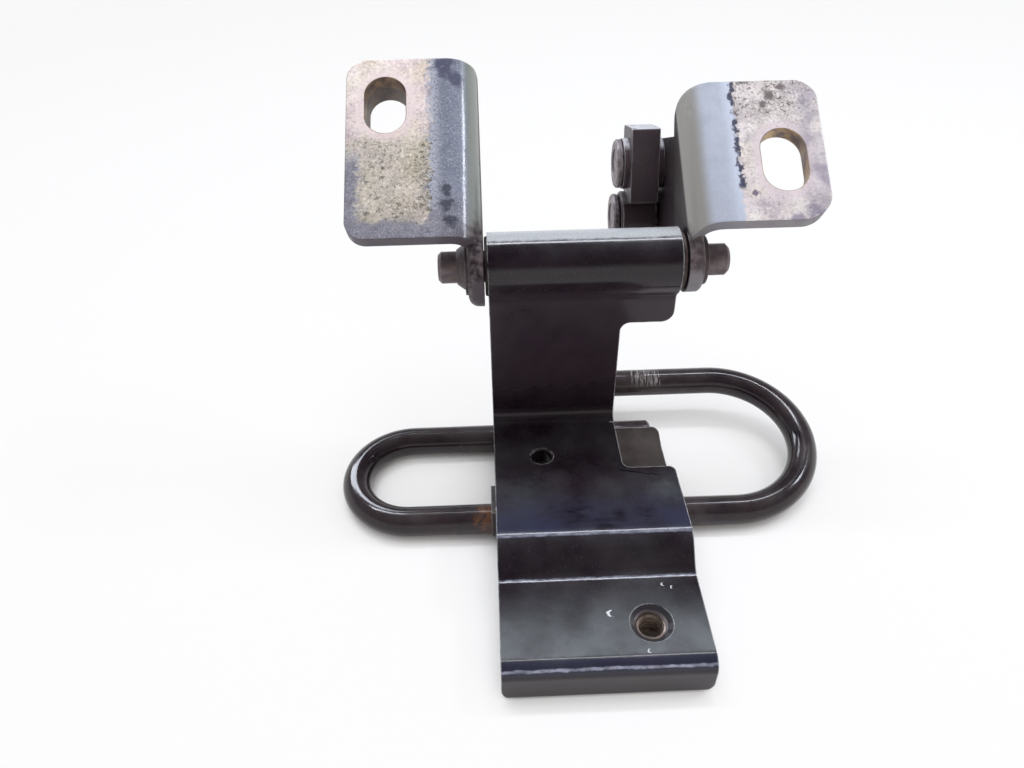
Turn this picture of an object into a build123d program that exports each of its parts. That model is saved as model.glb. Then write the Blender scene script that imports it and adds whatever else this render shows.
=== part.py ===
import math
import os

from build123d import *

# Working frame: pin axis along X through (0, 0), +Y to the rear, +Z up, millimetres.

# door leaf: a strip rolled into the eye, bent down the neck, along the foot and over the lip
LEAF_WIDTH = 48.0
LEAF_T = 5.0
EYE_OD = 17.0
EYE_BORE = 10.0
EYE_SEAM = 0.6
EYE_CREASE_R = 2.2
NECK_FRONT_Y = -4.6
HEEL_Z = -48.3
HEEL_R = 3.5
STEP_TOP_Y = -49.5
STEP_TOP_Z = -46.6
STEP_TOP_R = 1.6
STEP_FOOT_Y = -56.3
STEP_FOOT_Z = -53.3
STEP_FOOT_R = 3.0
LIP_FRONT_Y = -81.3
LIP_OUTER_R = 3.3
LIP_INNER_R = 0.5
LIP_EDGE_R = 1.2
LIP_CORNER_R = 3.4
FLOOR_Z = -64.0

# notch that lets the roller of the check gear pass
NOTCH_MARGIN = 2.9
NOTCH_TOP_Z = -15.6
NOTCH_FRONT_Y = -26.0
NOTCH_R = 2.6
NOTCH_FOOT_R = 2.2
NECK_CORNER_R = 3.2
FOOT_CORNER_R = 1.8

# holes of the foot, set out from its edges
DOOR_BOLT_FROM_EDGE = 13.1
DOOR_BOLT_FROM_LIP = 11.5
DOOR_BOLT_MINOR = 6.8
DOOR_BOLT_SINK = 10.2
DOOR_BOLT_SINK_DEPTH = 1.3
HEEL_HOLE_FROM_EDGE = 12.9
HEEL_HOLE_FROM_NECK = 15.7
HEEL_HOLE_D = 5.6
HEEL_HOLE_BREAK = 0.5
NUT_FLATS = 11.6
NUT_H = 5.2
NUT_CHAMFER = 0.5

# pin, bushes and end pieces
PIN_D = 8.0
PIN_LEFT_X = -36.4
PIN_RIGHT_X = 36.8
PIN_END_CHAMFER = 0.8
RUN_CLEAR = 0.05
BUSH_FLANGE_D = 15.0
BUSH_LEFT_FLANGE_T = 0.7
BUSH_RIGHT_FLANGE_T = 1.3
BUSH_LEN = 16.0
BUSH_CHAMFER = 0.3
SIDE_GAP = 0.3
COLLAR_D = 11.8
COLLAR_RIM_D = 14.2
COLLAR_RIM_T = 0.6
COLLAR_LEN = 2.7
COLLAR_WALL = 0.4
PIN_WASHER_D = 12.4
PIN_WASHER_T = 1.2

# body wings, laid out along U (up the flange) and N (normal to the flange front)
WING_ANGLE = 55.0
WING_T = 4.0
LEFT_EAR_X = LEAF_WIDTH / 2 + BUSH_LEFT_FLANGE_T + SIDE_GAP
RIGHT_EAR_X = LEAF_WIDTH / 2 + BUSH_RIGHT_FLANGE_T + SIDE_GAP
FLANGE_N = 14.0
STAMPED_R = 0.5
ROOT_IN = 1.0
ROOT_DROP = 3.0
L_BEND_R = 8.0
L_TOP_U = 51.0
L_BOTTOM_U = 1.7
L_EDGE_X = 57.8
L_LOW_R = 5.0
L_ROOT_R = 4.0
L_HIGH_R = 5.4
L_WEB_TOP_N = 6.5
L_WEB_TOP_R = 7.0
L_HIP_DROP = 12.0
L_HIP_N = -0.5
L_HIP_R = 12.0
L_BELLY_U = 17.0
L_BELLY_N = -9.5
L_BELLY_R = 6.0
L_SLOT_X = 48.0
L_SLOT_U = 37.9
L_SLOT_W = 10.2
L_SLOT_H = 15.9
L_EAR_R = 10.0
L_EAR_ROUND = 2.6
R_BEND_R = 8.5
R_TOP_U = 42.0
R_BOTTOM_U = 3.4
R_EDGE_X = 59.9
R_LOW_R = 7.6
R_ROOT_R = 6.0
R_HIGH_R = 6.2
R_WEB_TOP_N = 8.6
R_WEB_TOP_R = 10.5
R_HIP_DROP = 7.4
R_HIP_N = 4.6
R_HIP_R = 8.0
R_BELLY_U = 12.4
R_BELLY_N = -5.0
R_SLOT_X = 49.5
R_SLOT_U = 19.7
R_SLOT_W = 11.4
R_SLOT_H = 17.1
R_EAR_R = 8.0
R_EAR_ROUND = 1.2
BACKING_T = 5.5
BACKING_W = 16.4
BACKING_H = 22.0
BACKING_R = 3.0

# check gear on the lug of the right wing, stacked from the lug towards the middle
LUG_STEP = 0.8
LUG_EDGE = 6.6
STUD_D = 7.0
STUD_HEAD_D = 13.5
STUD_HEAD_T = 1.9
STUD_DISH_D = 8.3
STUD_DISH_DEPTH = 0.35
STUD_CHAMFER = 0.5
RIVET_FLARE = 1.3
RIVET_T = 1.4
RIVET_CHAMFER = 0.9
UPPER_Y = 41.3
UPPER_Z = 7.75
LOWER_Y = 41.0
LOWER_Z = -9.0
SLEEVE_D = 14.0
INNER_SLEEVE_LEN = 1.8
OUTER_SLEEVE_LEN = 1.7
ROLLER_D = 15.0
ROLLER_CHAMFER = 0.6
BLOCK_W = 7.8
BLOCK_TILT = 17.3
BLOCK_FRONT = 8.0
BLOCK_BACK = -6.0
BLOCK_HALF_H = 10.2
BLOCK_EDGE_R = 0.8
ROLLER_RELIEF = 0.5
LUG_X = RIGHT_EAR_X + LUG_STEP
BLOCK_X = LUG_X - INNER_SLEEVE_LEN - BLOCK_W
HEAD_X = BLOCK_X - OUTER_SLEEVE_LEN - STUD_HEAD_T
NOTCH_X = HEAD_X - NOTCH_MARGIN

# torsion rod: three legs and two loops, set out from the edges of the leaf
ROD_D = 8.0
ROD_Z = FLOOR_Z + ROD_D / 2
FREE_Y = 14.5
FREE_Z = -52.0
FREE_END_IN = 14.5
MID_Y = -31.2
REAR_Y = 0.2
REAR_END_IN = 1.4
RIGHT_LOOP_OUT = 17.7
LEFT_LOOP_OUT = 23.4
ROD_CHAMFER = 0.8

# rod retainer under the upper foot
RETAINER_T = 2.5
RETAINER_INSET = 0.6
RETAINER_REAR_Y = -2.0
RETAINER_FRONT_Y = -40.0
RETAINER_SEAT = 0.05
RETAINER_HOLE_MARGIN = 0.8
RETAINER_OVERHANG = 1.2
TAB_START_Y = -14.3
TAB_END_Y = -6.8
TAB_R = 12.8
TAB_CORNER_R = 2.0
TAB_SIDE_GAP = 0.3
EAR_HOLE_CLEAR = 0.1
EAR_HALF = 5.0
EAR_FLOOR_GAP = 0.8
INNER_EAR_LEFT_IN = 3.5
INNER_EAR_RIGHT_IN = 5.0


def outline(points, radii):
    """Closed face through the points, each corner rounded by its own radius."""
    count = len(points)
    edges = []
    starts = []
    ends = []
    mids = []
    for i in range(count):
        px, py = points[i]
        ax, ay = points[i - 1]
        bx, by = points[(i + 1) % count]
        r = radii[i]
        la = math.hypot(ax - px, ay - py)
        lb = math.hypot(bx - px, by - py)
        ax, ay = (ax - px) / la, (ay - py) / la
        bx, by = (bx - px) / lb, (by - py) / lb
        if r <= 0:
            starts.append((px, py))
            ends.append((px, py))
            mids.append(None)
            continue
        half = math.acos(max(-1.0, min(1.0, ax * bx + ay * by))) / 2
        run = r / math.tan(half)
        mx, my = ax + bx, ay + by
        lm = math.hypot(mx, my)
        mx, my = mx / lm, my / lm
        reach = r / math.sin(half) - r
        starts.append((px + ax * run, py + ay * run))
        ends.append((px + bx * run, py + by * run))
        mids.append((px + mx * reach, py + my * reach))
    for i in range(count):
        if mids[i] is not None:
            edges.append(ThreePointArc(starts[i], mids[i], ends[i]))
        nxt = starts[(i + 1) % count]
        if math.hypot(nxt[0] - ends[i][0], nxt[1] - ends[i][1]) > 1e-6:
            edges.append(Line(ends[i], nxt))
    return make_face(Wire(edges))


def side_prism(face, x0, x1):
    """Extrude a (Y, Z) face from x0 to x1."""
    return extrude(Plane.YZ.offset(x0) * face, x1 - x0)


def x_cylinder(radius, x0, x1, y=0.0, z=0.0):
    return side_prism(Pos(y, z) * Circle(radius), x0, x1)


def x_cone(r0, r1, x0, x1, y=0.0, z=0.0):
    body = Cone(r0, r1, x1 - x0)
    return Pos((x0 + x1) / 2, y, z) * Rot(0, 90, 0) * body


def offset_strip(front, front_radii, back_radii, thickness):
    """Bent strip: the front line plus the same line moved by the thickness to its left."""
    lines = []
    for (ax, ay), (bx, by) in zip(front[:-1], front[1:]):
        length = math.hypot(bx - ax, by - ay)
        dx, dy = (bx - ax) / length, (by - ay) / length
        lines.append((ax - dy * thickness, ay + dx * thickness, dx, dy))
    back = [(lines[0][0], lines[0][1])]
    for (ax, ay, adx, ady), (bx, by, bdx, bdy) in zip(lines[:-1], lines[1:]):
        cross = adx * bdy - ady * bdx
        s = ((bx - ax) * bdy - (by - ay) * bdx) / cross
        back.append((ax + adx * s, ay + ady * s))
    ax, ay, adx, ady = lines[-1]
    length = math.hypot(front[-1][0] - front[-2][0], front[-1][1] - front[-2][1])
    back.append((ax + adx * length, ay + ady * length))
    return outline(front + back[::-1], front_radii + back_radii[::-1])


def foot_top_z(y):
    """Height of the upper foot surface at a given Y."""
    slope = (STEP_TOP_Z - HEEL_Z) / (STEP_TOP_Y - NECK_FRONT_Y)
    return HEEL_Z + slope * (y - NECK_FRONT_Y)


def foot_under_z(y):
    slope = (STEP_TOP_Z - HEEL_Z) / (STEP_TOP_Y - NECK_FRONT_Y)
    return foot_top_z(y) - LEAF_T * math.hypot(1.0, slope)


def cut_notch(body):
    """Opening in the right side of the neck and of the foot behind it."""
    half = LEAF_WIDTH / 2
    past = half + LEAF_T
    neck_low = HEEL_Z + HEEL_R / 2
    neck_cut = outline(
        [(NOTCH_X, NOTCH_TOP_Z), (past, NOTCH_TOP_Z), (past, neck_low), (NOTCH_X, neck_low)],
        [NOTCH_R, 0, 0, 0],
    )
    body -= extrude(Plane.XZ.offset(-EYE_OD / 2) * neck_cut, EYE_OD)
    rear = LEAF_T * 2
    foot_cut = outline(
        [(NOTCH_X, NOTCH_FRONT_Y), (past, NOTCH_FRONT_Y), (past, rear), (NOTCH_X, rear)],
        [NOTCH_FOOT_R, 0, 0, 0],
    )
    body -= extrude(Plane.XY.offset(HEEL_Z - LEAF_T * 2.4) * foot_cut, LEAF_T * 3.4)
    corner = body.edges().filter_by(Axis.Y).filter_by(
        lambda e: abs(e.center().X - half) < 0.1 and abs(e.center().Z - NOTCH_TOP_Z) < 0.2
    )
    body = fillet(corner, NECK_CORNER_R)
    corner = body.edges().filter_by(Axis.Z).filter_by(
        lambda e: abs(e.center().X - half) < 0.1 and abs(e.center().Y - NOTCH_FRONT_Y) < 0.2
    )
    return fillet(corner, FOOT_CORNER_R)


def door_bolt_xy():
    return (LEAF_WIDTH / 2 - DOOR_BOLT_FROM_EDGE, LIP_FRONT_Y + DOOR_BOLT_FROM_LIP)


def heel_hole_xy():
    return (HEEL_HOLE_FROM_EDGE - LEAF_WIDTH / 2, NECK_FRONT_Y - HEEL_HOLE_FROM_NECK)


def make_door_leaf():
    half = LEAF_WIDTH / 2
    eye_r = EYE_OD / 2
    crease_z = -math.sqrt(eye_r * eye_r - NECK_FRONT_Y * NECK_FRONT_Y)
    front = [
        (NECK_FRONT_Y, crease_z * 0.8),
        (NECK_FRONT_Y, HEEL_Z),
        (STEP_TOP_Y, STEP_TOP_Z),
        (STEP_FOOT_Y, STEP_FOOT_Z),
        (LIP_FRONT_Y, STEP_FOOT_Z),
        (LIP_FRONT_Y, FLOOR_Z),
    ]
    front_r = [0, HEEL_R, STEP_TOP_R + LEAF_T, STEP_FOOT_R, LIP_OUTER_R, LIP_EDGE_R]
    back_r = [0, HEEL_R + LEAF_T, STEP_TOP_R, STEP_FOOT_R + LEAF_T, LIP_INNER_R, LIP_EDGE_R / 2]
    strip = offset_strip(front, front_r, back_r, LEAF_T)
    body = side_prism(strip, -half, half) + x_cylinder(eye_r, -half, half)
    crease = body.edges().filter_by(Axis.X).filter_by(
        lambda e: math.hypot(e.center().Y - NECK_FRONT_Y, e.center().Z - crease_z) < 0.3
    )
    body = fillet(crease, EYE_CREASE_R)
    body -= x_cylinder(EYE_BORE / 2, -half - 1, half + 1)
    seam_y = NECK_FRONT_Y + LEAF_T + EYE_SEAM / 2
    body -= Pos(0, seam_y, -eye_r) * Box(LEAF_WIDTH + 2, EYE_SEAM, EYE_OD - EYE_BORE + EYE_CREASE_R)
    body = cut_notch(body)
    lip = outline(
        [(-half, FLOOR_Z), (half, FLOOR_Z), (half, eye_r * 2), (-half, eye_r * 2)],
        [LIP_CORNER_R, LIP_CORNER_R, 0, 0],
    )
    body = body & extrude(Plane.XZ.offset(-EYE_OD) * lip, EYE_OD - LIP_FRONT_Y + LEAF_T)

    x, y = door_bolt_xy()
    bolt = Pos(x, y, STEP_FOOT_Z)
    body -= bolt * Pos(0, 0, -LEAF_T / 2) * Cylinder(DOOR_BOLT_MINOR / 2, LEAF_T + 2)
    body -= bolt * Pos(0, 0, -DOOR_BOLT_SINK_DEPTH / 2 + 0.01) * Cone(
        DOOR_BOLT_MINOR / 2, DOOR_BOLT_SINK / 2, DOOR_BOLT_SINK_DEPTH
    )
    x, y = heel_hole_xy()
    heel = Pos(x, y, foot_top_z(y))
    body -= heel * Pos(0, 0, -LEAF_T / 2) * Cylinder(HEEL_HOLE_D / 2, LEAF_T + 2)
    body -= heel * Pos(0, 0, -HEEL_HOLE_BREAK * 0.3) * Cone(
        HEEL_HOLE_D / 2, HEEL_HOLE_D / 2 + HEEL_HOLE_BREAK, HEEL_HOLE_BREAK * 1.4
    )
    return body


def make_weld_nut():
    x, y = door_bolt_xy()
    middle = Pos(x, y, STEP_FOOT_Z - LEAF_T - NUT_H / 2)
    body = middle * extrude(RegularPolygon(NUT_FLATS / 2, 6, major_radius=False), NUT_H / 2, both=True)
    body -= middle * Cylinder(DOOR_BOLT_MINOR / 2, NUT_H + 2)
    rim = body.edges().filter_by(GeomType.CIRCLE).sort_by(Axis.Z)[0]
    return chamfer(rim, NUT_CHAMFER)


def make_bush(flange_t):
    """Flanged bearing for the right end of the eye; the left one is its mirror image."""
    inner = LEAF_WIDTH / 2
    outer = inner + flange_t
    flange = x_cylinder(BUSH_FLANGE_D / 2, inner, outer)
    flange = chamfer(flange.edges().filter_by(GeomType.CIRCLE).sort_by(Axis.X)[-1], BUSH_CHAMFER)
    sleeve = x_cylinder(EYE_BORE / 2, inner - BUSH_LEN, inner)
    return flange + sleeve - x_cylinder(PIN_D / 2 + RUN_CLEAR, inner - BUSH_LEN - 1, outer + 1)


def make_torsion_rod():
    half = LEAF_WIDTH / 2
    right_x = half + RIGHT_LOOP_OUT
    left_x = -half - LEFT_LOOP_OUT
    free_a = Vector(NOTCH_X - FREE_END_IN, FREE_Y, FREE_Z)
    free_b = Vector(right_x, FREE_Y, FREE_Z)
    mid_b = Vector(right_x, MID_Y, ROD_Z)
    mid_a = Vector(left_x, MID_Y, ROD_Z)
    rear_a = Vector(left_x, REAR_Y, ROD_Z)
    rear_b = Vector(half - REAR_END_IN, REAR_Y, ROD_Z)
    right_r = (free_b - mid_b).length / 2
    left_r = (rear_a - mid_a).length / 2
    right_tip = (free_b + mid_b) * 0.5 + Vector(right_r, 0, 0)
    left_tip = (rear_a + mid_a) * 0.5 - Vector(left_r, 0, 0)
    path = Wire([
        Line(free_a, free_b),
        ThreePointArc(free_b, right_tip, mid_b),
        Line(mid_b, mid_a),
        ThreePointArc(mid_a, left_tip, rear_a),
        Line(rear_a, rear_b),
    ])
    section = Plane(origin=free_a, z_dir=(1, 0, 0)) * Circle(ROD_D / 2)
    body = sweep(section, path)
    flats = body.faces().filter_by(GeomType.PLANE)
    return chamfer(flats.edges(), ROD_CHAMFER)


def retainer_ear(x0, y_front, y_rear, leg_y):
    """One upright ear under the sheet, bored for the rod leg at leg_y."""
    x1 = x0 + RETAINER_T
    bottom = FLOOR_Z + EAR_FLOOR_GAP
    bite = RETAINER_T * 0.84
    face = outline(
        [
            (y_front, foot_under_z(y_front) - bite),
            (y_rear, foot_under_z(y_rear) - bite),
            (y_rear, bottom),
            (y_front, bottom),
        ],
        [0, 0, EAR_HALF * 0.6, EAR_HALF * 0.6],
    )
    return side_prism(face, x0, x1) - x_cylinder(ROD_D / 2 + EAR_HOLE_CLEAR, x0 - 1, x1 + 1, leg_y, ROD_Z)


def retainer_sheet(y0, y1, x0, x1, radii):
    high = RETAINER_SEAT
    low = RETAINER_SEAT + RETAINER_T
    face = outline(
        [
            (y0, foot_under_z(y0) - high),
            (y1, foot_under_z(y1) - high),
            (y1, foot_under_z(y1) - low),
            (y0, foot_under_z(y0) - low),
        ],
        radii,
    )
    return side_prism(face, x0, x1)


def retainer_tab(x0, x1):
    """Upturned rear end of the sheet inside the notch: an arc that starts along the foot."""
    slope = (STEP_TOP_Z - HEEL_Z) / (STEP_TOP_Y - NECK_FRONT_Y)
    size = math.hypot(1.0, slope)
    ty, tz = 1 / size, slope / size
    start_z = foot_under_z(TAB_START_Y) - RETAINER_SEAT
    cy, cz = TAB_START_Y - tz * TAB_R, start_z + ty * TAB_R
    turn = math.asin((TAB_END_Y - TAB_START_Y) / TAB_R)

    def on_arc(radius, angle):
        along, down = radius * math.sin(angle), radius * math.cos(angle)
        return (cy + along * ty + down * tz, cz + along * tz - down * ty)

    outer = TAB_R + RETAINER_T
    face = make_face(Wire([
        ThreePointArc(on_arc(TAB_R, 0), on_arc(TAB_R, turn / 2), on_arc(TAB_R, turn)),
        Line(on_arc(TAB_R, turn), on_arc(outer, turn)),
        ThreePointArc(on_arc(outer, turn), on_arc(outer, turn / 2), on_arc(outer, 0)),
        Line(on_arc(outer, 0), on_arc(TAB_R, 0)),
    ]))
    plan = outline(
        [(x0, TAB_START_Y), (x1, TAB_START_Y), (x1, TAB_END_Y), (x0, TAB_END_Y)],
        [0, 0, TAB_CORNER_R, 0],
    )
    return side_prism(face, x0, x1) & extrude(Plane.XY.offset(FLOOR_Z) * plan, -FLOOR_Z)


def make_rod_retainer():
    right = LEAF_WIDTH / 2 - RETAINER_INSET
    left = -LEAF_WIDTH / 2 - RETAINER_OVERHANG
    front, rear = MID_Y - EAR_HALF, MID_Y + EAR_HALF
    overlap = RETAINER_T / 2
    body = retainer_sheet(RETAINER_FRONT_Y, TAB_START_Y, -right, right, [0.6, 0, 0, 0.6])
    body += retainer_sheet(TAB_START_Y - overlap, RETAINER_REAR_Y, -right, NOTCH_X, [0, 1.8, 0.3, 0])
    body += retainer_tab(NOTCH_X + TAB_SIDE_GAP, right)
    body += retainer_sheet(front, rear, left, overlap - right, [0, 0, 0, 0])
    body += retainer_ear(right - RETAINER_T, front, rear, MID_Y)
    body += retainer_ear(left, front, rear, MID_Y)
    for x in (INNER_EAR_LEFT_IN - LEAF_WIDTH / 2, NOTCH_X - INNER_EAR_RIGHT_IN):
        body += retainer_ear(x, REAR_Y - EAR_HALF * 1.2, REAR_Y + EAR_HALF, REAR_Y)
    x, y = heel_hole_xy()
    under = Pos(x, y, foot_under_z(y) - RETAINER_T / 2)
    return body - under * Cylinder(HEEL_HOLE_D / 2 + RETAINER_HOLE_MARGIN, RETAINER_T * 3)


WING_U = (math.sin(math.radians(WING_ANGLE)), math.cos(math.radians(WING_ANGLE)))
WING_N = (-WING_U[1], WING_U[0])


def un(u, n):
    """(U, N) of the wing to (Y, Z) of the hinge."""
    return (u * WING_U[0] + n * WING_N[0], u * WING_U[1] + n * WING_N[1])


def flange_plane(n):
    """Drawing plane with local x = X, local y = U, facing +N, at height n."""
    y, z = un(0, n)
    return Plane(origin=(0, y, z), x_dir=(1, 0, 0), z_dir=(0, WING_N[0], WING_N[1]))


def un_prism(points, radii, x0, x1):
    return side_prism(outline([un(u, n) for u, n in points], radii), x0, x1)


def bent_section(ear_x, edge_x, u0, u1, bend_r, web_n):
    """L-section of one wing on its right-hand side, running from u0 to u1."""
    section = outline(
        [
            (ear_x, web_n),
            (ear_x, FLANGE_N),
            (edge_x, FLANGE_N),
            (edge_x, FLANGE_N - WING_T),
            (ear_x + WING_T, FLANGE_N - WING_T),
            (ear_x + WING_T, web_n),
        ],
        [0, bend_r, STAMPED_R, STAMPED_R, bend_r - WING_T, 0],
    )
    y, z = un(u0, 0)
    plane = Plane(origin=(0, y, z), x_dir=(1, 0, 0), z_dir=(0, -WING_U[0], -WING_U[1]))
    return extrude(plane * section, -(u1 - u0))


def flange_trim(ear_x, edge_x, u0, u1, root_r, corner_low, corner_high):
    """Rounded front outline of a wing as a tool that spans its whole depth."""
    inner = ear_x - WING_T
    root_x = ear_x - ROOT_IN
    below = u0 - FLANGE_N * 2
    face = outline(
        [(inner, below), (root_x, below), (root_x, u0), (edge_x, u0), (edge_x, u1), (inner, u1)],
        [0, 0, root_r, corner_low, corner_high, 0],
    )
    return extrude(flange_plane(-FLANGE_N * 5) * face, FLANGE_N * 7)


def rounded_ear(ear_x, radius, rounding):
    """Eye end of a web, rolled over on its outer edge."""
    ear = x_cylinder(radius, ear_x, ear_x + WING_T)
    outer = ear.edges().filter_by(GeomType.CIRCLE).sort_by(Axis.X)[-1]
    return fillet(outer, rounding)


def web_root(ear_x, bottom_u, ear_r):
    """Stretch of web between the ear and the lower edge of the flange."""
    top_u = bottom_u + ear_r
    low_u = bottom_u - 1
    points = [(low_u, ear_r * 0.78), (top_u, ear_r * 0.6), (top_u, -ear_r * 0.7), (low_u, -ear_r * 0.92)]
    return un_prism(points, [0, 0, 0, 0], ear_x, ear_x + WING_T)


def obround(x, u, width, height):
    return Pos(x, u) * Rot(0, 0, 90) * SlotOverall(height, width)


def make_left_wing():
    """Built on the right-hand side and mirrored to the left."""
    body = bent_section(LEFT_EAR_X, L_EDGE_X, L_BOTTOM_U - ROOT_DROP, L_TOP_U, L_BEND_R, -FLANGE_N)
    body = body & un_prism(
        [
            (L_TOP_U, FLANGE_N + 2),
            (L_TOP_U, L_WEB_TOP_N),
            (L_TOP_U - L_HIP_DROP, L_HIP_N),
            (L_BELLY_U, L_BELLY_N),
            (L_BOTTOM_U, L_BELLY_N),
            (L_BOTTOM_U - ROOT_DROP, L_BELLY_N + ROOT_DROP),
            (L_BOTTOM_U - ROOT_DROP, FLANGE_N + 2),
        ],
        [0, L_WEB_TOP_R, L_HIP_R, L_BELLY_R, 0, 0, 0],
        LEFT_EAR_X - 1,
        L_EDGE_X + 1,
    )
    body = body & flange_trim(LEFT_EAR_X, L_EDGE_X, L_BOTTOM_U, L_TOP_U, L_ROOT_R, L_LOW_R, L_HIGH_R)
    body += rounded_ear(LEFT_EAR_X, L_EAR_R, L_EAR_ROUND)
    body += web_root(LEFT_EAR_X, L_BOTTOM_U, L_EAR_R)
    slot = obround(L_SLOT_X, L_SLOT_U, L_SLOT_W, L_SLOT_H)
    body -= extrude(flange_plane(FLANGE_N - WING_T - 1) * slot, WING_T + 2)
    body -= x_cylinder(PIN_D / 2, LEFT_EAR_X - 1, LEFT_EAR_X + WING_T + 1)
    return mirror(body, Plane.YZ)


def make_backing_plate():
    top_n = FLANGE_N - WING_T
    face = Pos(L_SLOT_X, L_SLOT_U) * RectangleRounded(BACKING_W, BACKING_H, BACKING_R)
    body = extrude(flange_plane(top_n - BACKING_T) * face, BACKING_T)
    slot = obround(L_SLOT_X, L_SLOT_U, L_SLOT_W, L_SLOT_H)
    body -= extrude(flange_plane(top_n - BACKING_T - 1) * slot, BACKING_T + 2)
    return mirror(body, Plane.YZ)


def make_right_wing():
    body = bent_section(RIGHT_EAR_X, R_EDGE_X, R_BOTTOM_U - ROOT_DROP, R_TOP_U, R_BEND_R, -FLANGE_N)
    body = body & un_prism(
        [
            (R_TOP_U, FLANGE_N + 2),
            (R_TOP_U, R_WEB_TOP_N),
            (R_TOP_U - R_HIP_DROP, R_HIP_N),
            (R_BELLY_U, R_BELLY_N),
            (R_BOTTOM_U, -R_EAR_R * 0.9),
            (R_BOTTOM_U - ROOT_DROP, -R_EAR_R * 0.9),
            (R_BOTTOM_U - ROOT_DROP, FLANGE_N + 2),
        ],
        [0, R_WEB_TOP_R, R_HIP_R, 0, 0, 0, 0],
        RIGHT_EAR_X - 1,
        R_EDGE_X + 1,
    )
    body = body & flange_trim(RIGHT_EAR_X, R_EDGE_X, R_BOTTOM_U, R_TOP_U, R_ROOT_R, R_LOW_R, R_HIGH_R)
    body += rounded_ear(RIGHT_EAR_X, R_EAR_R, R_EAR_ROUND)
    body += web_root(RIGHT_EAR_X, R_BOTTOM_U, R_EAR_R)
    body += side_prism(lug_outline(), LUG_X, RIGHT_EAR_X + WING_T)
    slot = obround(R_SLOT_X, R_SLOT_U, R_SLOT_W, R_SLOT_H)
    body -= extrude(flange_plane(FLANGE_N - WING_T - 1) * slot, WING_T + 2)
    body -= x_cylinder(PIN_D / 2, RIGHT_EAR_X - 1, RIGHT_EAR_X + WING_T + 1)
    for y, z in ((UPPER_Y, UPPER_Z), (LOWER_Y, LOWER_Z)):
        body -= x_cylinder(STUD_D / 2, LUG_X - 1, RIGHT_EAR_X + WING_T + 1, y, z)
    return body


def belt_tangent(c0, r0, c1, r1):
    """Ends of the outer tangent that runs from one circle to the next on its left side."""
    dx, dy = c1[0] - c0[0], c1[1] - c0[1]
    angle = math.atan2(dy, dx) + math.acos((r0 - r1) / math.hypot(dx, dy))
    co, si = math.cos(angle), math.sin(angle)
    return (c0[0] + r0 * co, c0[1] + r0 * si), (c1[0] + r1 * co, c1[1] + r1 * si)


def arc_about(centre, radius, start, end):
    mx = (start[0] + end[0]) / 2 - centre[0]
    my = (start[1] + end[1]) / 2 - centre[1]
    scale = radius / math.hypot(mx, my)
    return ThreePointArc(start, (centre[0] + mx * scale, centre[1] + my * scale), end)


def lug_outline():
    """Rear arm of the right web: a belt round the hip, the two stud seats and the ear."""
    hip = un(R_TOP_U - R_HIP_DROP - 1.5, R_HIP_N - 0.4)
    upper = (UPPER_Y, UPPER_Z)
    lower = (LOWER_Y, LOWER_Z)
    high_start, high_end = belt_tangent(hip, 0, upper, LUG_EDGE)
    rear_start, rear_end = belt_tangent(upper, LUG_EDGE, lower, LUG_EDGE)
    low_start, low_end = belt_tangent(lower, LUG_EDGE, (0, 0), R_EAR_R)
    edges = [
        Line(high_start, high_end),
        arc_about(upper, LUG_EDGE, high_end, rear_start),
        Line(rear_start, rear_end),
        arc_about(lower, LUG_EDGE, rear_end, low_start),
        Line(low_start, low_end),
        Line(low_end, un(R_BOTTOM_U, 0)),
        Line(un(R_BOTTOM_U, 0), high_start),
    ]
    return make_face(Wire(edges))


def make_hinge_pin():
    body = x_cylinder(PIN_D / 2, PIN_LEFT_X, PIN_RIGHT_X)
    return chamfer(body.edges().filter_by(GeomType.CIRCLE), PIN_END_CHAMFER)


def make_pin_collar():
    face = -LEFT_EAR_X - WING_T
    rim = face - COLLAR_RIM_T
    end = face - COLLAR_LEN
    body = x_cone(PIN_D / 2 + COLLAR_WALL, COLLAR_D / 2, end, rim) + x_cylinder(COLLAR_RIM_D / 2, rim, face)
    return body - x_cylinder(PIN_D / 2, end - 1, face + 1)


def make_pin_washer():
    x0 = RIGHT_EAR_X + WING_T
    body = x_cylinder(PIN_WASHER_D / 2, x0, x0 + PIN_WASHER_T)
    return body - x_cylinder(PIN_D / 2, x0 - 1, x0 + PIN_WASHER_T + 1)


def make_stud(y, z):
    outer = RIGHT_EAR_X + WING_T
    head = x_cylinder(STUD_HEAD_D / 2, HEAD_X, HEAD_X + STUD_HEAD_T, y, z)
    head = chamfer(head.edges().filter_by(GeomType.CIRCLE), STUD_CHAMFER)
    head -= x_cylinder(STUD_DISH_D / 2, HEAD_X - 1, HEAD_X + STUD_DISH_DEPTH, y, z)
    shank = x_cylinder(STUD_D / 2, HEAD_X + STUD_DISH_DEPTH, outer, y, z)
    tail = x_cylinder(STUD_D / 2 + RIVET_FLARE, outer, outer + RIVET_T, y, z)
    tail = chamfer(tail.edges().filter_by(GeomType.CIRCLE).sort_by(Axis.X)[-1], RIVET_CHAMFER)
    return head + shank + tail


def make_sleeve(x0, x1):
    body = x_cylinder(SLEEVE_D / 2, x0, x1, UPPER_Y, UPPER_Z)
    return body - x_cylinder(STUD_D / 2, x0 - 1, x1 + 1, UPPER_Y, UPPER_Z)


def make_roller():
    x0 = HEAD_X + STUD_HEAD_T + SIDE_GAP
    x1 = LUG_X - SIDE_GAP
    body = x_cylinder(ROLLER_D / 2, x0, x1, LOWER_Y, LOWER_Z)
    body = chamfer(body.edges().filter_by(GeomType.CIRCLE), ROLLER_CHAMFER)
    return body - x_cylinder(STUD_D / 2 + RUN_CLEAR, x0 - 1, x1 + 1, LOWER_Y, LOWER_Z)


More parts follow.
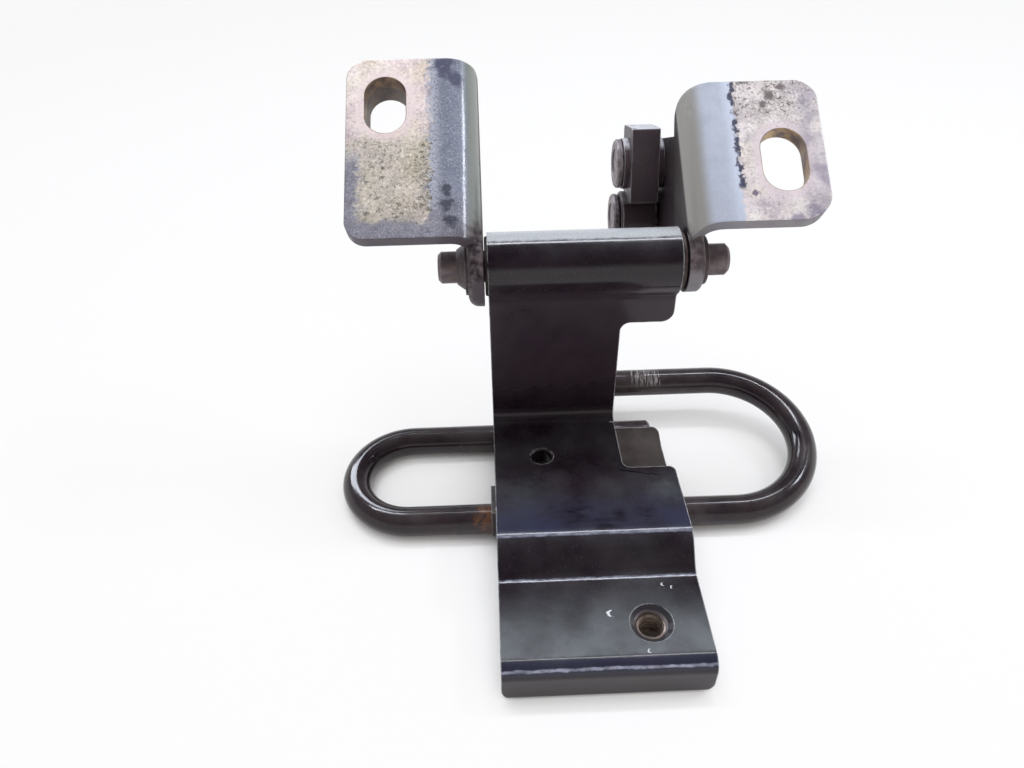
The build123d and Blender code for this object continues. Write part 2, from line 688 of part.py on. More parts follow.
def make_stop_block():
    tilt = math.radians(BLOCK_TILT)
    f = (-math.cos(tilt), math.sin(tilt))
    w = (math.sin(tilt), math.cos(tilt))

    def fw(a, b):
        return (UPPER_Y + f[0] * a + w[0] * b, UPPER_Z + f[1] * a + w[1] * b)

    face = outline(
        [
            fw(BLOCK_FRONT, -BLOCK_HALF_H),
            fw(BLOCK_FRONT, BLOCK_HALF_H),
            fw(BLOCK_BACK, BLOCK_HALF_H),
            fw(BLOCK_BACK, -BLOCK_HALF_H),
        ],
        [BLOCK_EDGE_R, BLOCK_EDGE_R, BLOCK_EDGE_R * 1.5, BLOCK_EDGE_R],
    )
    x0, x1 = BLOCK_X, BLOCK_X + BLOCK_W
    body = side_prism(face, x0, x1)
    body -= x_cylinder(ROLLER_D / 2 + ROLLER_RELIEF, x0 - 1, x1 + 1, LOWER_Y, LOWER_Z)
    return body - x_cylinder(STUD_D / 2, x0 - 1, x1 + 1, UPPER_Y, UPPER_Z)


def main():
    sleeve_out = HEAD_X + STUD_HEAD_T
    nodes = {
        "door_leaf": make_door_leaf(),
        "weld_nut": make_weld_nut(),
        "bush_left": mirror(make_bush(BUSH_LEFT_FLANGE_T), Plane.YZ),
        "bush_right": make_bush(BUSH_RIGHT_FLANGE_T),
        "torsion_rod": make_torsion_rod(),
        "rod_retainer": make_rod_retainer(),
        "left_wing": make_left_wing(),
        "slot_backing_plate": make_backing_plate(),
        "right_wing": make_right_wing(),
        "hinge_pin": make_hinge_pin(),
        "pin_collar": make_pin_collar(),
        "pin_washer": make_pin_washer(),
        "upper_stud": make_stud(UPPER_Y, UPPER_Z),
        "lower_stud": make_stud(LOWER_Y, LOWER_Z),
        "outer_sleeve": make_sleeve(sleeve_out, BLOCK_X),
        "inner_sleeve": make_sleeve(BLOCK_X + BLOCK_W, LUG_X),
        "stop_block": make_stop_block(),
        "check_roller": make_roller(),
    }
    boxes = [shape.bounding_box() for shape in nodes.values()]
    x = (min(b.min.X for b in boxes) + max(b.max.X for b in boxes)) / 2
    y = (min(b.min.Y for b in boxes) + max(b.max.Y for b in boxes)) / 2
    z = min(b.min.Z for b in boxes)
    os.makedirs("parts", exist_ok=True)
    for name, shape in nodes.items():
        placed = Pos(-x, -y, -z) * shape
        placed.label = name
        export_step(placed, "parts/" + name + ".step")
        print(name, round(placed.volume, 1), placed.is_valid)
    print("shift", -x, -y, -z)


main()
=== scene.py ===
import math

import bpy
import numpy as np
from mathutils import Matrix


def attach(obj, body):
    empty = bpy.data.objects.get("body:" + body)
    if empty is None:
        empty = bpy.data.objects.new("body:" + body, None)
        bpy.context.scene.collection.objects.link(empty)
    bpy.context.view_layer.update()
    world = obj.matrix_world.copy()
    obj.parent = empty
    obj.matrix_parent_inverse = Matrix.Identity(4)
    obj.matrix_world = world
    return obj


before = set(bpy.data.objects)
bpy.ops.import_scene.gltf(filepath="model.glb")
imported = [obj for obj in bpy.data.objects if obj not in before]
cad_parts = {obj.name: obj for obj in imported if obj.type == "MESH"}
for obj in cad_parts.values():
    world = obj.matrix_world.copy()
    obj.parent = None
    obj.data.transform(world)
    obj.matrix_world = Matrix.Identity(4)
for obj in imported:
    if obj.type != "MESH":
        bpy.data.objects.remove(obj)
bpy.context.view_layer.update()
mm = 0.001   # the frame is in metres, everything below is written in mm
print("frame loaded:", len(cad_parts), "nodes")

# places that several materials share, in mm in the part's own frame
pinAxis = {"y": 15.77, "z": 64.0}
alongPlate = (0.0, math.cos(math.radians(35.0)), math.sin(math.radians(35.0)))


# sRGB hex to linear colour with alpha
def ink(hexText):
    parts = np.array([int(hexText[i:i + 2], 16) for i in (1, 3, 5)]) / 255.0
    linear = np.where(parts <= 0.04045, parts / 12.92, ((parts + 0.055) / 1.055) ** 2.4)
    return (*[float(v) for v in linear], 1.0)


# adds one node, fills its inputs in order or by name, and returns the output that is in use
def addNode(tree, kind, settings=None, *inputs, **named):
    node = tree.nodes.new("ShaderNode" + kind)
    for key, value in (settings or {}).items():
        setattr(node, key, value)
    pairs = list(zip([socket for socket in node.inputs if socket.enabled], inputs))
    pairs += [(node.inputs[key.replace("_", " ")], value) for key, value in named.items()]
    for socket, value in pairs:
        if isinstance(value, bpy.types.NodeSocket):
            tree.links.new(value, socket)
        else:
            socket.default_value = value
    used = [socket for socket in node.outputs if socket.enabled]
    return used[0] if used else node


# settings that the materials below share
times, plus, minus = {"operation": "MULTIPLY"}, {"operation": "ADD"}, {"operation": "SUBTRACT"}
larger, size, root = {"operation": "MAXIMUM"}, {"operation": "ABSOLUTE"}, {"operation": "SQRT"}
dot, distance = {"operation": "DOT_PRODUCT"}, {"operation": "DISTANCE"}
softStep, overlay = {"interpolation_type": "SMOOTHSTEP"}, {"data_type": "RGBA"}


# a fresh material: its tree, position in mm, surface normal and Principled shader
def startMaterial(name):
    material = bpy.data.materials.new(name)
    material.use_nodes = True
    tree = material.node_tree
    tree.nodes.clear()
    spot = addNode(tree, "TexCoord").node
    place = addNode(tree, "Mapping", None, spot.outputs["Object"], Scale=(1 / mm, 1 / mm, 1 / mm))
    shader = addNode(tree, "BsdfPrincipled")
    addNode(tree, "OutputMaterial", None, shader)
    return material, tree, place, spot.outputs["Normal"], shader.node


# cloudy mask: noise of the given grain in mm, 0 where it is under low and 1 over high
def cloud(tree, place, grain, low, high, detail=3.0, stretch=None):
    if stretch:
        place = addNode(tree, "Mapping", None, place, Scale=stretch)
    noise = addNode(tree, "TexNoise", None, Vector=place, Scale=1 / grain, Detail=detail, Roughness=0.55)
    return addNode(tree, "MapRange", None, noise, low, high)


# the same cloud as a share that runs from least to most
def patchy(tree, place, grain, low, high, detail, least, most):
    return addNode(tree, "MapRange", None, cloud(tree, place, grain, low, high, detail), 0.0, 1.0, least, most)


# 1 round a point in mm, out to an uneven edge at about the given radius, fading over soft mm
def nearPoint(tree, place, point, radius, soft):
    wobble = addNode(tree, "TexNoise", None, Vector=place, Scale=1.3 / radius, Detail=4.0, Roughness=0.6)
    away = addNode(tree, "VectorMath", distance, place, point)
    away = addNode(tree, "Math", plus, away, addNode(tree, "Math", times,
                   addNode(tree, "Math", minus, wobble, 0.5), radius * 1.8))
    return addNode(tree, "MapRange", softStep, away, radius, radius - soft)


# 1 for rays that look, straight or in a mirror or through glass, and 0 for light that falls on things
def lookingRays(tree):
    ray = addNode(tree, "LightPath").node
    seen = addNode(tree, "Math", larger, ray.outputs["Is Camera Ray"], ray.outputs["Is Glossy Ray"])
    return addNode(tree, "Math", larger, seen, ray.outputs["Is Transmission Ray"])


# puts a material on the CAD nodes' own objects
def dress(material, *nodeNames):
    for name in nodeNames:
        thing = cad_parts[name]
        if not thing.data.materials:
            thing.data.materials.append(material)
        for place in thing.material_slots:
            place.material = material


# turns a grid of points (rows, columns, 3) in mm into a mesh object
def gridPiece(name, points, closeRows=False):
    rows, columns = points.shape[:2]
    index = np.arange(rows * columns).reshape(rows, columns)
    if closeRows:
        index = np.concatenate([index, index[:1]], axis=0)
    quads = np.stack([index[:-1, :-1], index[1:, :-1], index[1:, 1:], index[:-1, 1:]], axis=-1).reshape(-1, 4)
    mesh = bpy.data.meshes.new(name)
    mesh.from_pydata((points.reshape(-1, 3) * mm).tolist(), [], quads.tolist())
    mesh.polygons.foreach_set("use_smooth", np.ones(len(quads), bool))
    mesh.update()
    thing = bpy.data.objects.new(name, mesh)
    bpy.context.collection.objects.link(thing)
    return thing


# camera, taken back from the photo's vanishing lines and the part's own edges
view = {"place": (-23.82, -159.16, 169.86), "down": 39.59, "turn": 1.50, "roll": 0.99,
        "lens": 28.125, "sensor": 36.0, "near": 0.005, "far": 50.0}


def placeCamera():
    down, turn, roll = [math.radians(view[k]) for k in ("down", "turn", "roll")]
    ahead = np.array([math.sin(turn) * math.cos(down), math.cos(turn) * math.cos(down), -math.sin(down)])
    right = np.array([math.cos(turn), -math.sin(turn), 0.0])
    below = np.cross(ahead, right)
    side = math.cos(roll) * right + math.sin(roll) * below
    under = -math.sin(roll) * right + math.cos(roll) * below
    lens = bpy.data.cameras.new("camera")
    lens.lens, lens.sensor_width, lens.sensor_fit = view["lens"], view["sensor"], "HORIZONTAL"
    lens.clip_start, lens.clip_end = view["near"], view["far"]   # metres
    camera = bpy.data.objects.new("camera", lens)
    matrix = np.eye(4)
    matrix[:3, 0], matrix[:3, 1], matrix[:3, 2] = side, -under, -ahead
    matrix[:3, 3] = np.array(view["place"]) * mm
    camera.matrix_world = Matrix(matrix.tolist())
    bpy.context.collection.objects.link(camera)
    bpy.context.scene.camera = camera


placeCamera()

floorLook = {"reach": 4000.0, "drop": 0.05, "ticks": 5, "tile": "#f4f3f2", "lift": 0.80,
             "whitens": (380.0, 1100.0), "shadeReach": 45.0, "shadeSamples": 8, "shade": (0.05, 0.95)}


# a square of floor under the lowest faces; the camera share lifts it to the photo's white, fully so
# far out, where no horizon shows, and not close under the part, where the shadow stays deep
def layFloor():
    ticks = np.linspace(-floorLook["reach"], floorLook["reach"], floorLook["ticks"])
    across, along = np.meshgrid(ticks, ticks, indexing="ij")
    points = np.stack([across, along, np.full_like(across, -floorLook["drop"])], axis=-1)
    floor = gridPiece("floor", points)
    material = bpy.data.materials.new("matt white floor")
    material.use_nodes = True
    tree = material.node_tree
    tree.nodes.clear()
    matt = addNode(tree, "BsdfDiffuse", None, ink(floorLook["tile"]))
    white = addNode(tree, "Emission", None, (1, 1, 1, 1), 1.0)
    seen = lookingRays(tree)
    shade = addNode(tree, "AmbientOcclusion", {"samples": floorLook["shadeSamples"]},
                    Distance=floorLook["shadeReach"] * mm)
    clear = addNode(tree, "MapRange", softStep, shade.node.outputs["AO"], *floorLook["shade"])
    spot = addNode(tree, "TexCoord").node.outputs["Object"]
    out = addNode(tree, "VectorMath", distance, spot, (0.0, 0.0, 0.0))
    near, far = [reach * mm for reach in floorLook["whitens"]]
    lift = addNode(tree, "MapRange", softStep, out, near, far, floorLook["lift"], 1.0)
    share = addNode(tree, "Math", times, addNode(tree, "Math", times, seen, lift), clear)
    addNode(tree, "OutputMaterial", None, addNode(tree, "MixShader", None, share, matt, white))
    floor.data.materials.append(material)


layFloor()

studio = {"horizon": "#ffffff", "ceiling": "#6f727a", "front": "#2b282e", "strength": 0.85,
          "overhead": (0.12, 0.50), "behindCamera": (0.10, -0.40)}


# a pale room: white at eye level, greyer overhead and darkest behind the camera
def lightRoom():
    world = bpy.data.worlds.new("studio")
    bpy.context.scene.world = world
    world.use_nodes = True
    tree = world.node_tree
    tree.nodes.clear()
    way = addNode(tree, "TexCoord").node.outputs["Generated"]
    axes = addNode(tree, "SeparateXYZ", None, way).node
    high = addNode(tree, "MapRange", softStep, axes.outputs[2], *studio["overhead"])
    toFront = addNode(tree, "MapRange", softStep, axes.outputs[1], *studio["behindCamera"])
    roof = addNode(tree, "Mix", overlay, toFront, ink(studio["ceiling"]), ink(studio["front"]))
    colour = addNode(tree, "Mix", overlay, high, ink(studio["horizon"]), roof)
    seen = lookingRays(tree)
    strength = addNode(tree, "MapRange", None, seen, 0.0, 1.0, studio["strength"], 1.0)
    addNode(tree, "OutputWorld", None, addNode(tree, "Background", None, colour, strength))


lightRoom()

# soft windows overhead and to the sides, and two fills; places and sizes in mm
lamps = {
    "skylight": {"place": (-30, 285, 780), "aim": (0, 0, 40), "size": (760, 66), "watts": 4.0, "tint": "#f2f5ff",
                 "mirrored": True, "lights": True},
    "rightWindow": {"place": (560, 140, 600), "aim": (-10, 20, 60), "size": (90, 230), "watts": 1.6,
                    "tint": "#eef3ff", "mirrored": True, "lights": True},
    "leftWindow": {"place": (-400, 560, 560), "aim": (-40, 0, 20), "size": (520, 220), "watts": 6.0,
                   "tint": "#eef3ff", "mirrored": True, "lights": False},
    "topFill": {"place": (-60, 40, 900), "aim": (0, 0, 40), "size": (700, 500), "watts": 2.4,
                "tint": "#fbfcff", "mirrored": False, "lights": True},
    "frontFill": {"place": (160, -620, 430), "aim": (0, 0, 40), "size": (600, 400), "watts": 1.2,
                  "tint": "#fff6ee", "mirrored": False, "lights": True},
}


def hangLamps():
    for name, spec in lamps.items():
        light = bpy.data.lights.new(name, "AREA")
        light.shape = "RECTANGLE"
        light.size, light.size_y = spec["size"][0] * mm, spec["size"][1] * mm
        light.energy = spec["watts"]
        light.color = ink(spec["tint"])[:3]
        lamp = bpy.data.objects.new(name, light)
        # the fills aren't bright shapes in the gloss, and the left window is nothing else
        lamp.visible_glossy, lamp.visible_diffuse = spec["mirrored"], spec["lights"]
        back = np.array(spec["place"], float) - np.array(spec["aim"], float)
        back /= np.linalg.norm(back)
        side = np.cross([0.0, 1.0, 0.0], back)
        side /= np.linalg.norm(side)
        matrix = np.eye(4)
        matrix[:3, 0], matrix[:3, 1], matrix[:3, 2] = side, np.cross(back, side), back
        matrix[:3, 3] = np.array(spec["place"]) * mm
        lamp.matrix_world = Matrix(matrix.tolist())
        bpy.context.collection.objects.link(lamp)


hangLamps()
bpy.context.scene.view_settings.view_transform = "Standard"
print("camera, floor and light ready")


# what every dip coat shares: spans of facing and of the rounded rim, grains in mm, tints
coatFilm = {"upward": (0.35, 0.95), "gritGrain": 0.35, "gritTint": "#8d8987", "dulling": 0.45,
            "rim": (0.98, 0.88), "rimTint": "#dededf", "sheetWave": 14.0, "sheetDepth": 0.5, "peelHeight": 0.12,
            "ior": 1.5, "coatRough": 0.10}


# black dip coat: stoved electrocoat on pressed steel, a smooth gloss film with a faint orange peel,
# dulled by road dust that settles on the flats, and paled along the edges as rubbed paint and painted edge highlight
def dipCoat(name, look):
    material, tree, place, normal, shader = startMaterial(name)
    axes = addNode(tree, "SeparateXYZ", None, place).node
    facing = addNode(tree, "SeparateXYZ", None, normal).node
    colour = addNode(tree, "Mix", overlay, cloud(tree, place, look["blotch"], 0.35, 0.7),
                     ink(look["coat"]), ink(look["deep"]))
    # dust film, thicker on faces that look up
    up = addNode(tree, "MapRange", softStep, facing.outputs[2], *coatFilm["upward"])
    film = cloud(tree, place, look["dustPatch"], 0.36, 0.80, 6.0)
    settled = addNode(tree, "Math", times, addNode(tree, "Math", times, film, up), look["dust"])
    grime = addNode(tree, "Math", times, cloud(tree, place, look["grimePatch"], 0.34, 0.86, 7.0), look["grime"])
    colour = addNode(tree, "Mix", overlay, grime, colour, ink(look["grimeTint"]))
    colour = addNode(tree, "Mix", overlay, settled, colour, ink(look["dustTint"]))
    # fine pale grit
    grit = addNode(tree, "Math", times, cloud(tree, place, coatFilm["gritGrain"], 0.67, 0.73, 2.0), look["grit"])
    colour = addNode(tree, "Mix", overlay, grit, colour, ink(coatFilm["gritTint"]))
    dull = addNode(tree, "Math", times, addNode(tree, "Math", larger, settled, grime), coatFilm["dulling"])
    gloss = addNode(tree, "Math", plus, dull, look["rough"])
    marks = {"tree": tree, "place": place, "axes": axes, "facing": facing, "colour": colour, "gloss": gloss}
    if "marks" in look:
        look["marks"](marks)
    # rubbed edges with a painted edge highlight: pale colour where the rounded normal leaves the true one
    rounded = addNode(tree, "Bevel", {"samples": 4}, Radius=look["edge"] * mm)
    true = addNode(tree, "NewGeometry").node.outputs["Normal"]
    rim = addNode(tree, "MapRange", softStep, addNode(tree, "VectorMath", dot, rounded, true), *coatFilm["rim"])
    rim = addNode(tree, "Math", times, rim, cloud(tree, place, 3.0, 0.32, 0.50, 5.0))
    rim = addNode(tree, "Math", times, rim, look["rubAndHighlight"])
    colour = addNode(tree, "Mix", overlay, rim, marks["colour"], ink(coatFilm["rimTint"]))
    # orange peel over a slow unevenness of the pressed sheet
    peel = addNode(tree, "TexNoise", None, Vector=place, Scale=1 / look["peel"], Detail=2.0)
    sheet = addNode(tree, "TexNoise", None, Vector=place, Scale=1 / coatFilm["sheetWave"], Detail=1.0)
    uneven = addNode(tree, "Bump", None, Strength=0.5, Distance=coatFilm["sheetDepth"] * mm, Height=sheet,
                     Normal=rounded)
    bump = addNode(tree, "Bump", None, Strength=look["peelDepth"], Distance=coatFilm["peelHeight"] * mm,
                   Height=peel, Normal=uneven)
    for value, socket in ((colour, "Base Color"), (marks["gloss"], "Roughness"), (bump, "Normal")):
        tree.links.new(value, shader.inputs[socket])
    shader.inputs["IOR"].default_value = coatFilm["ior"]
    shader.inputs["Specular IOR Level"].default_value = look["sheen"]
    shader.inputs["Coat Weight"].default_value = look["lacquer"]
    shader.inputs["Coat Roughness"].default_value = coatFilm["coatRough"]
    return material


leafLook = {"coat": "#211920", "deep": "#181217", "blotch": 9.0, "dust": 0.16, "dustPatch": 15.0,
            "dustTint": "#84898a", "grime": 0.20, "grimePatch": 10.0, "grimeTint": "#43363a", "grit": 0.22,
            "rough": 0.15, "edge": 0.45, "rubAndHighlight": 1.0, "peel": 1.6, "peelDepth": 0.20, "lacquer": 0.42,
            "sheen": 0.22}
# wear of the leaf: places in mm, spans from where a mark starts to where it is full, shares and tints;
# a patch is grain in mm, low and high cut, detail, least and most share
leafWear = {
    "chips": [((0.9, -51.2, 10.7), 0.95, 0.62), ((8.3, -61.2, 10.7), 0.5, 0.28), ((14.4, -43.6, 10.7), 0.5, 0.3),
              ((16.4, -44.6, 10.7), 0.45, 0.25)],
    "chipTint": "#dfe1e4",
    "barrelFrom": (68.0, 70.0), "topBand": (13.0, 14.2), "topTint": "#bfc3c5",
    "topPatch": (0.45, 0.30, 0.62, 5.0, 0.7, 1.0), "topDull": 0.25,
    "sheen": (-15.0, -31.0), "sheenOver": (15.8, 16.6), "sheenUnder": (30.0, 25.0), "sheenLevel": (0.93, 0.995),
    "sheenPatch": (7.0, 0.30, 0.60, 6.0, 0.25, 0.8), "sheenTint": "#35384d",
    "smears": [((3.0, -29.5, 17.2), 6.5), ((-6.0, -26.0, 17.0), 7.0), ((13.0, -27.0, 17.1), 4.0)],
    "smearTint": "#151118", "smearShare": 0.7,
    "film": [((20.0, -18.0, 17.0), 8.0, "#5b6063", 0.55), ((-17.0, -19.0, 17.0), 8.0, "#42474b", 0.50),
             ((-8.0, -12.0, 17.0), 6.0, "#3d3b40", 0.40), ((-24.0, 14.0, 66.0), 5.0, "#6a5f5c", 0.45),
             ((24.0, 14.0, 68.0), 5.0, "#554b4b", 0.40)],
    "neckFrom": (20.0, 32.0), "neckTo": (66.0, 59.0), "neckPatch": (5.0, 0.25, 0.80, 7.0, 0.40, 0.75),
    "neckTint": "#3a2e36", "neckDull": 0.25,
    "dullLines": [(57.5, 3.2), (18.4, 2.0)], "dullBehind": (-9.0, -6.0), "dullShare": 0.35,
    "level": (0.7, 0.98), "lowerDustAndSheen": (-44.0, -59.0), "lowerShare": 0.62, "wiped": (-62.4, -61.4),
    "lowerPatch": (8.0, 0.30, 0.62, 7.0, 0.45, 1.0), "lowerTint": "#737b7d", "lowerDull": 0.2,
    "rubbedHighlights": [(-32.7, 0.45, 0.55), (-41.25, 0.50, 0.55), (-64.55, 0.34, 0.95)], "rubbedHighlightTint": "#a6aabb",
    "above": (0.25, 0.45), "lipReflection": (-62.2, -62.8), "lipShare": 0.55,
    "crease": {"from": (7.5, 8.5), "to": (19.5, 16.5), "slope": -0.222, "at": -9.35, "wide": (0.30, 0.12),
               "tint": "#0d0a0e"},
}


# a greasy film on the neck, a painted blue sheen with dark smears on the foot, grey dust that thickens
# towards its front, which also stands in for a painted reflection brightening that way, but is wiped off
# the lip, a painted bluish reflection on the lip's roll, pale lines on the bends that are painted highlights
# and rubbed paint, a dark line that is painted shade of a crease, a scuffed top to the barrel that is also
# a painted reflection, and chips to pale primer
def leafMarks(coat):
    tree, place, axes = coat["tree"], coat["place"], coat["axes"]
    wander = addNode(tree, "TexNoise", None, Vector=place, Scale=1 / 3.0, Detail=5.0, Roughness=0.65)
    wander = addNode(tree, "Math", minus, wander, 0.5)
    neck = addNode(tree, "Math", times,
                   addNode(tree, "MapRange", softStep, axes.outputs[2], *leafWear["neckFrom"]),
                   addNode(tree, "MapRange", softStep, axes.outputs[2], *leafWear["neckTo"]))
    neck = addNode(tree, "Math", times, neck, patchy(tree, place, *leafWear["neckPatch"]))
    coat["colour"] = addNode(tree, "Mix", overlay, neck, coat["colour"], ink(leafWear["neckTint"]))
    dull = addNode(tree, "Math", times, neck, leafWear["neckDull"])
    coat["gloss"] = addNode(tree, "Math", plus, coat["gloss"], dull)
    for height, reach in leafWear["dullLines"]:
        off = addNode(tree, "Math", size, addNode(tree, "Math", minus, axes.outputs[2], height))
        off = addNode(tree, "Math", times, addNode(tree, "MapRange", softStep, off, reach, reach * 0.5),
                      addNode(tree, "MapRange", softStep, axes.outputs[1], *leafWear["dullBehind"]))
        dull = addNode(tree, "Math", times, off, leafWear["dullShare"])
        coat["gloss"] = addNode(tree, "Math", plus, coat["gloss"], dull)
    for point, reach, tint, share in leafWear["film"]:
        film = addNode(tree, "Math", times, nearPoint(tree, place, point, reach, reach * 0.9),
                       patchy(tree, place, 3.0, 0.32, 0.66, 7.0, share * 0.4, share))
        coat["colour"] = addNode(tree, "Mix", overlay, film, coat["colour"], ink(tint))
    flat = addNode(tree, "MapRange", softStep, coat["facing"].outputs[2], *leafWear["level"])
    # grey dust thickening towards the foot's front, which also stands in for a painted reflection that brightens
    # towards the front
    front = addNode(tree, "MapRange", None, axes.outputs[1], *leafWear["lowerDustAndSheen"])
    dusty = addNode(tree, "Math", times, addNode(tree, "Math", times, front, flat), leafWear["lowerShare"])
    edge = addNode(tree, "Math", plus, axes.outputs[1], addNode(tree, "Math", times, wander, 0.8))
    dusty = addNode(tree, "Math", times, dusty, addNode(tree, "MapRange", softStep, edge, *leafWear["wiped"]))
    patch = patchy(tree, place, *leafWear["lowerPatch"])
    dusty = addNode(tree, "Math", times, dusty, patch)
    coat["colour"] = addNode(tree, "Mix", overlay, dusty, coat["colour"], ink(leafWear["lowerTint"]))
    dull = addNode(tree, "Math", times, dusty, leafWear["lowerDull"])
    coat["gloss"] = addNode(tree, "Math", plus, coat["gloss"], dull)
    # painted reflection: a blue sheen over the foot's upper flat, behind the step
    blueSheen = addNode(tree, "MapRange", softStep, axes.outputs[1], *leafWear["sheen"])
    for socket, span in ((axes.outputs[2], "sheenOver"), (axes.outputs[2], "sheenUnder"),
                         (coat["facing"].outputs[2], "sheenLevel")):
        blueSheen = addNode(tree, "Math", times, blueSheen, addNode(tree, "MapRange", softStep, socket, *leafWear[span]))
    blueSheen = addNode(tree, "Math", times, blueSheen, patchy(tree, place, *leafWear["sheenPatch"]))
    coat["colour"] = addNode(tree, "Mix", overlay, blueSheen, coat["colour"], ink(leafWear["sheenTint"]))
    for point, reach in leafWear["smears"]:
        smear = addNode(tree, "Math", times, nearPoint(tree, place, point, reach, reach * 0.8),
                        cloud(tree, place, 2.4, 0.40, 0.62, 7.0, stretch=(0.5, 1.4, 1.0)))
        smear = addNode(tree, "Math", times, smear, leafWear["smearShare"])
        coat["colour"] = addNode(tree, "Mix", overlay, smear, coat["colour"], ink(leafWear["smearTint"]))
    # painted reflection: the lip's roll is tinted bluish; and the three bends across the foot carry a pale, uneven
    # line that is painted highlight and rubbed paint
    above = addNode(tree, "MapRange", softStep, coat["facing"].outputs[2], *leafWear["above"])
    roll = addNode(tree, "Math", times, addNode(tree, "MapRange", softStep, edge, *leafWear["lipReflection"]), above)
    roll = addNode(tree, "Math", times, roll, leafWear["lipShare"])
    coat["colour"] = addNode(tree, "Mix", overlay, roll, coat["colour"], ink(leafWear["sheenTint"]))
    ragged = addNode(tree, "Math", plus, axes.outputs[1], addNode(tree, "Math", times, wander, 0.8))
    # painted highlights: each pale line sits on a bend's crest where the overhead window would shine, and also reads
    # as rubbed paint
    for crest, reach, share in leafWear["rubbedHighlights"]:
        away = addNode(tree, "Math", size, addNode(tree, "Math", minus, ragged, crest))
        worn = addNode(tree, "Math", times, addNode(tree, "MapRange", softStep, away, reach, reach * 0.3), above)
        worn = addNode(tree, "Math", times, worn, patchy(tree, place, 2.2, 0.36, 0.60, 5.0, share * 0.35, share))
        coat["colour"] = addNode(tree, "Mix", overlay, worn, coat["colour"], ink(leafWear["rubbedHighlightTint"]))
    # painted shade: a dark line across the foot, in front of the notch, where a shallow crease shades the sheet
    line = leafWear["crease"]
    off = addNode(tree, "Math", plus, axes.outputs[1], addNode(tree, "Math", times, axes.outputs[0], -line["slope"]))
    off = addNode(tree, "Math", plus, off, addNode(tree, "Math", times, wander, 0.9))
    off = addNode(tree, "Math", size, addNode(tree, "Math", minus, off, line["at"]))
    creaseShade = addNode(tree, "Math", times, addNode(tree, "MapRange", softStep, off, *line["wide"]),
                    addNode(tree, "MapRange", softStep, axes.outputs[0], *line["from"]))
    creaseShade = addNode(tree, "Math", times, creaseShade, addNode(tree, "MapRange", softStep, axes.outputs[0], *line["to"]))
    creaseShade = addNode(tree, "Math", times, creaseShade, flat)
    coat["colour"] = addNode(tree, "Mix", overlay, creaseShade, coat["colour"], ink(line["tint"]))
    # the pale band on the barrel's top is scuffed, dusty paint and also a painted reflection of the bright wall
    # behind
    onBarrel = addNode(tree, "MapRange", softStep, axes.outputs[2], *leafWear["barrelFrom"])
    edge = addNode(tree, "Math", plus, axes.outputs[1], addNode(tree, "Math", times, wander, 1.2))
    scuffAndSheen = addNode(tree, "Math", times, addNode(tree, "MapRange", softStep, edge, *leafWear["topBand"]), onBarrel)
    scuffAndSheen = addNode(tree, "Math", times, scuffAndSheen, patchy(tree, place, *leafWear["topPatch"]))
    coat["colour"] = addNode(tree, "Mix", overlay, scuffAndSheen, coat["colour"], ink(leafWear["topTint"]))
    dull = addNode(tree, "Math", times, scuffAndSheen, leafWear["topDull"])
    coat["gloss"] = addNode(tree, "Math", plus, coat["gloss"], dull)
    for point, reach, bite in leafWear["chips"]:
        chip = nearPoint(tree, place, point, reach, reach * 0.2)
        inside = (point[0] + bite * 0.9, point[1] - bite * 0.05, point[2])   # a bite makes it a crescent
        hole = addNode(tree, "MapRange", softStep, addNode(tree, "VectorMath", distance, place, inside),
                       bite * 1.15, bite * 1.15 + 0.15)
        chip = addNode(tree, "Math", times, chip, hole)
        coat["colour"] = addNode(tree, "Mix", overlay, chip, coat["colour"], ink(leafWear["chipTint"]))


leafLook["marks"] = leafMarks
dress(dipCoat("black dip coat on pressed steel", leafLook), "door_leaf")

retainerLook = {"coat": "#3a3031", "deep": "#282122", "blotch": 6.0, "dust": 0.55, "dustPatch": 9.0,
                "dustTint": "#7a706b", "grime": 0.5, "grimePatch": 5.0, "grimeTint": "#5a4d48", "grit": 0.35,
                "rough": 0.42, "edge": 0.4, "rubAndHighlight": 0.7, "peel": 1.2, "peelDepth": 0.12, "lacquer": 0.05,
                "sheen": 0.3}
retainerDustAndShade = {"tab": (-15.0, -13.0), "root": (13.0, 5.0), "patch": (3.0, 0.30, 0.65, 6.0, 0.5, 0.9),
                "tint": "#8b8279"}


# the upturned end pales towards its root: dust, and painted shading that stands in for the tab's curve
def retainerMarks(coat):
    tree = coat["tree"]
    tab = addNode(tree, "MapRange", softStep, coat["axes"].outputs[1], *retainerDustAndShade["tab"])
    toRoot = addNode(tree, "Math", times, tab,
                     addNode(tree, "MapRange", None, coat["axes"].outputs[2], *retainerDustAndShade["root"]))
    toRoot = addNode(tree, "Math", times, toRoot, patchy(tree, coat["place"], *retainerDustAndShade["patch"]))
    coat["colour"] = addNode(tree, "Mix", overlay, toRoot, coat["colour"], ink(retainerDustAndShade["tint"]))


retainerLook["marks"] = retainerMarks
dress(dipCoat("dusty dip coat on the rod retainer", retainerLook), "rod_retainer")

gearLook = {"coat": "#4a3c44", "deep": "#3f333b", "blotch": 5.0, "dust": 0.0, "dustPatch": 5.0,
            "dustTint": "#d0d0d4", "grime": 0.5, "grimePatch": 2.5, "grimeTint": "#5a4f50", "grit": 0.5,
            "rough": 0.36, "edge": 0.45, "rubAndHighlight": 0.9, "peel": 0.9, "peelDepth": 0.12, "lacquer": 0.06,
            "sheen": 0.3}
gearScour = {"upward": (0.80, 0.93), "patch": (1.6, 0.30, 0.52, 5.0), "tint": "#c9cace", "dull": 0.2}


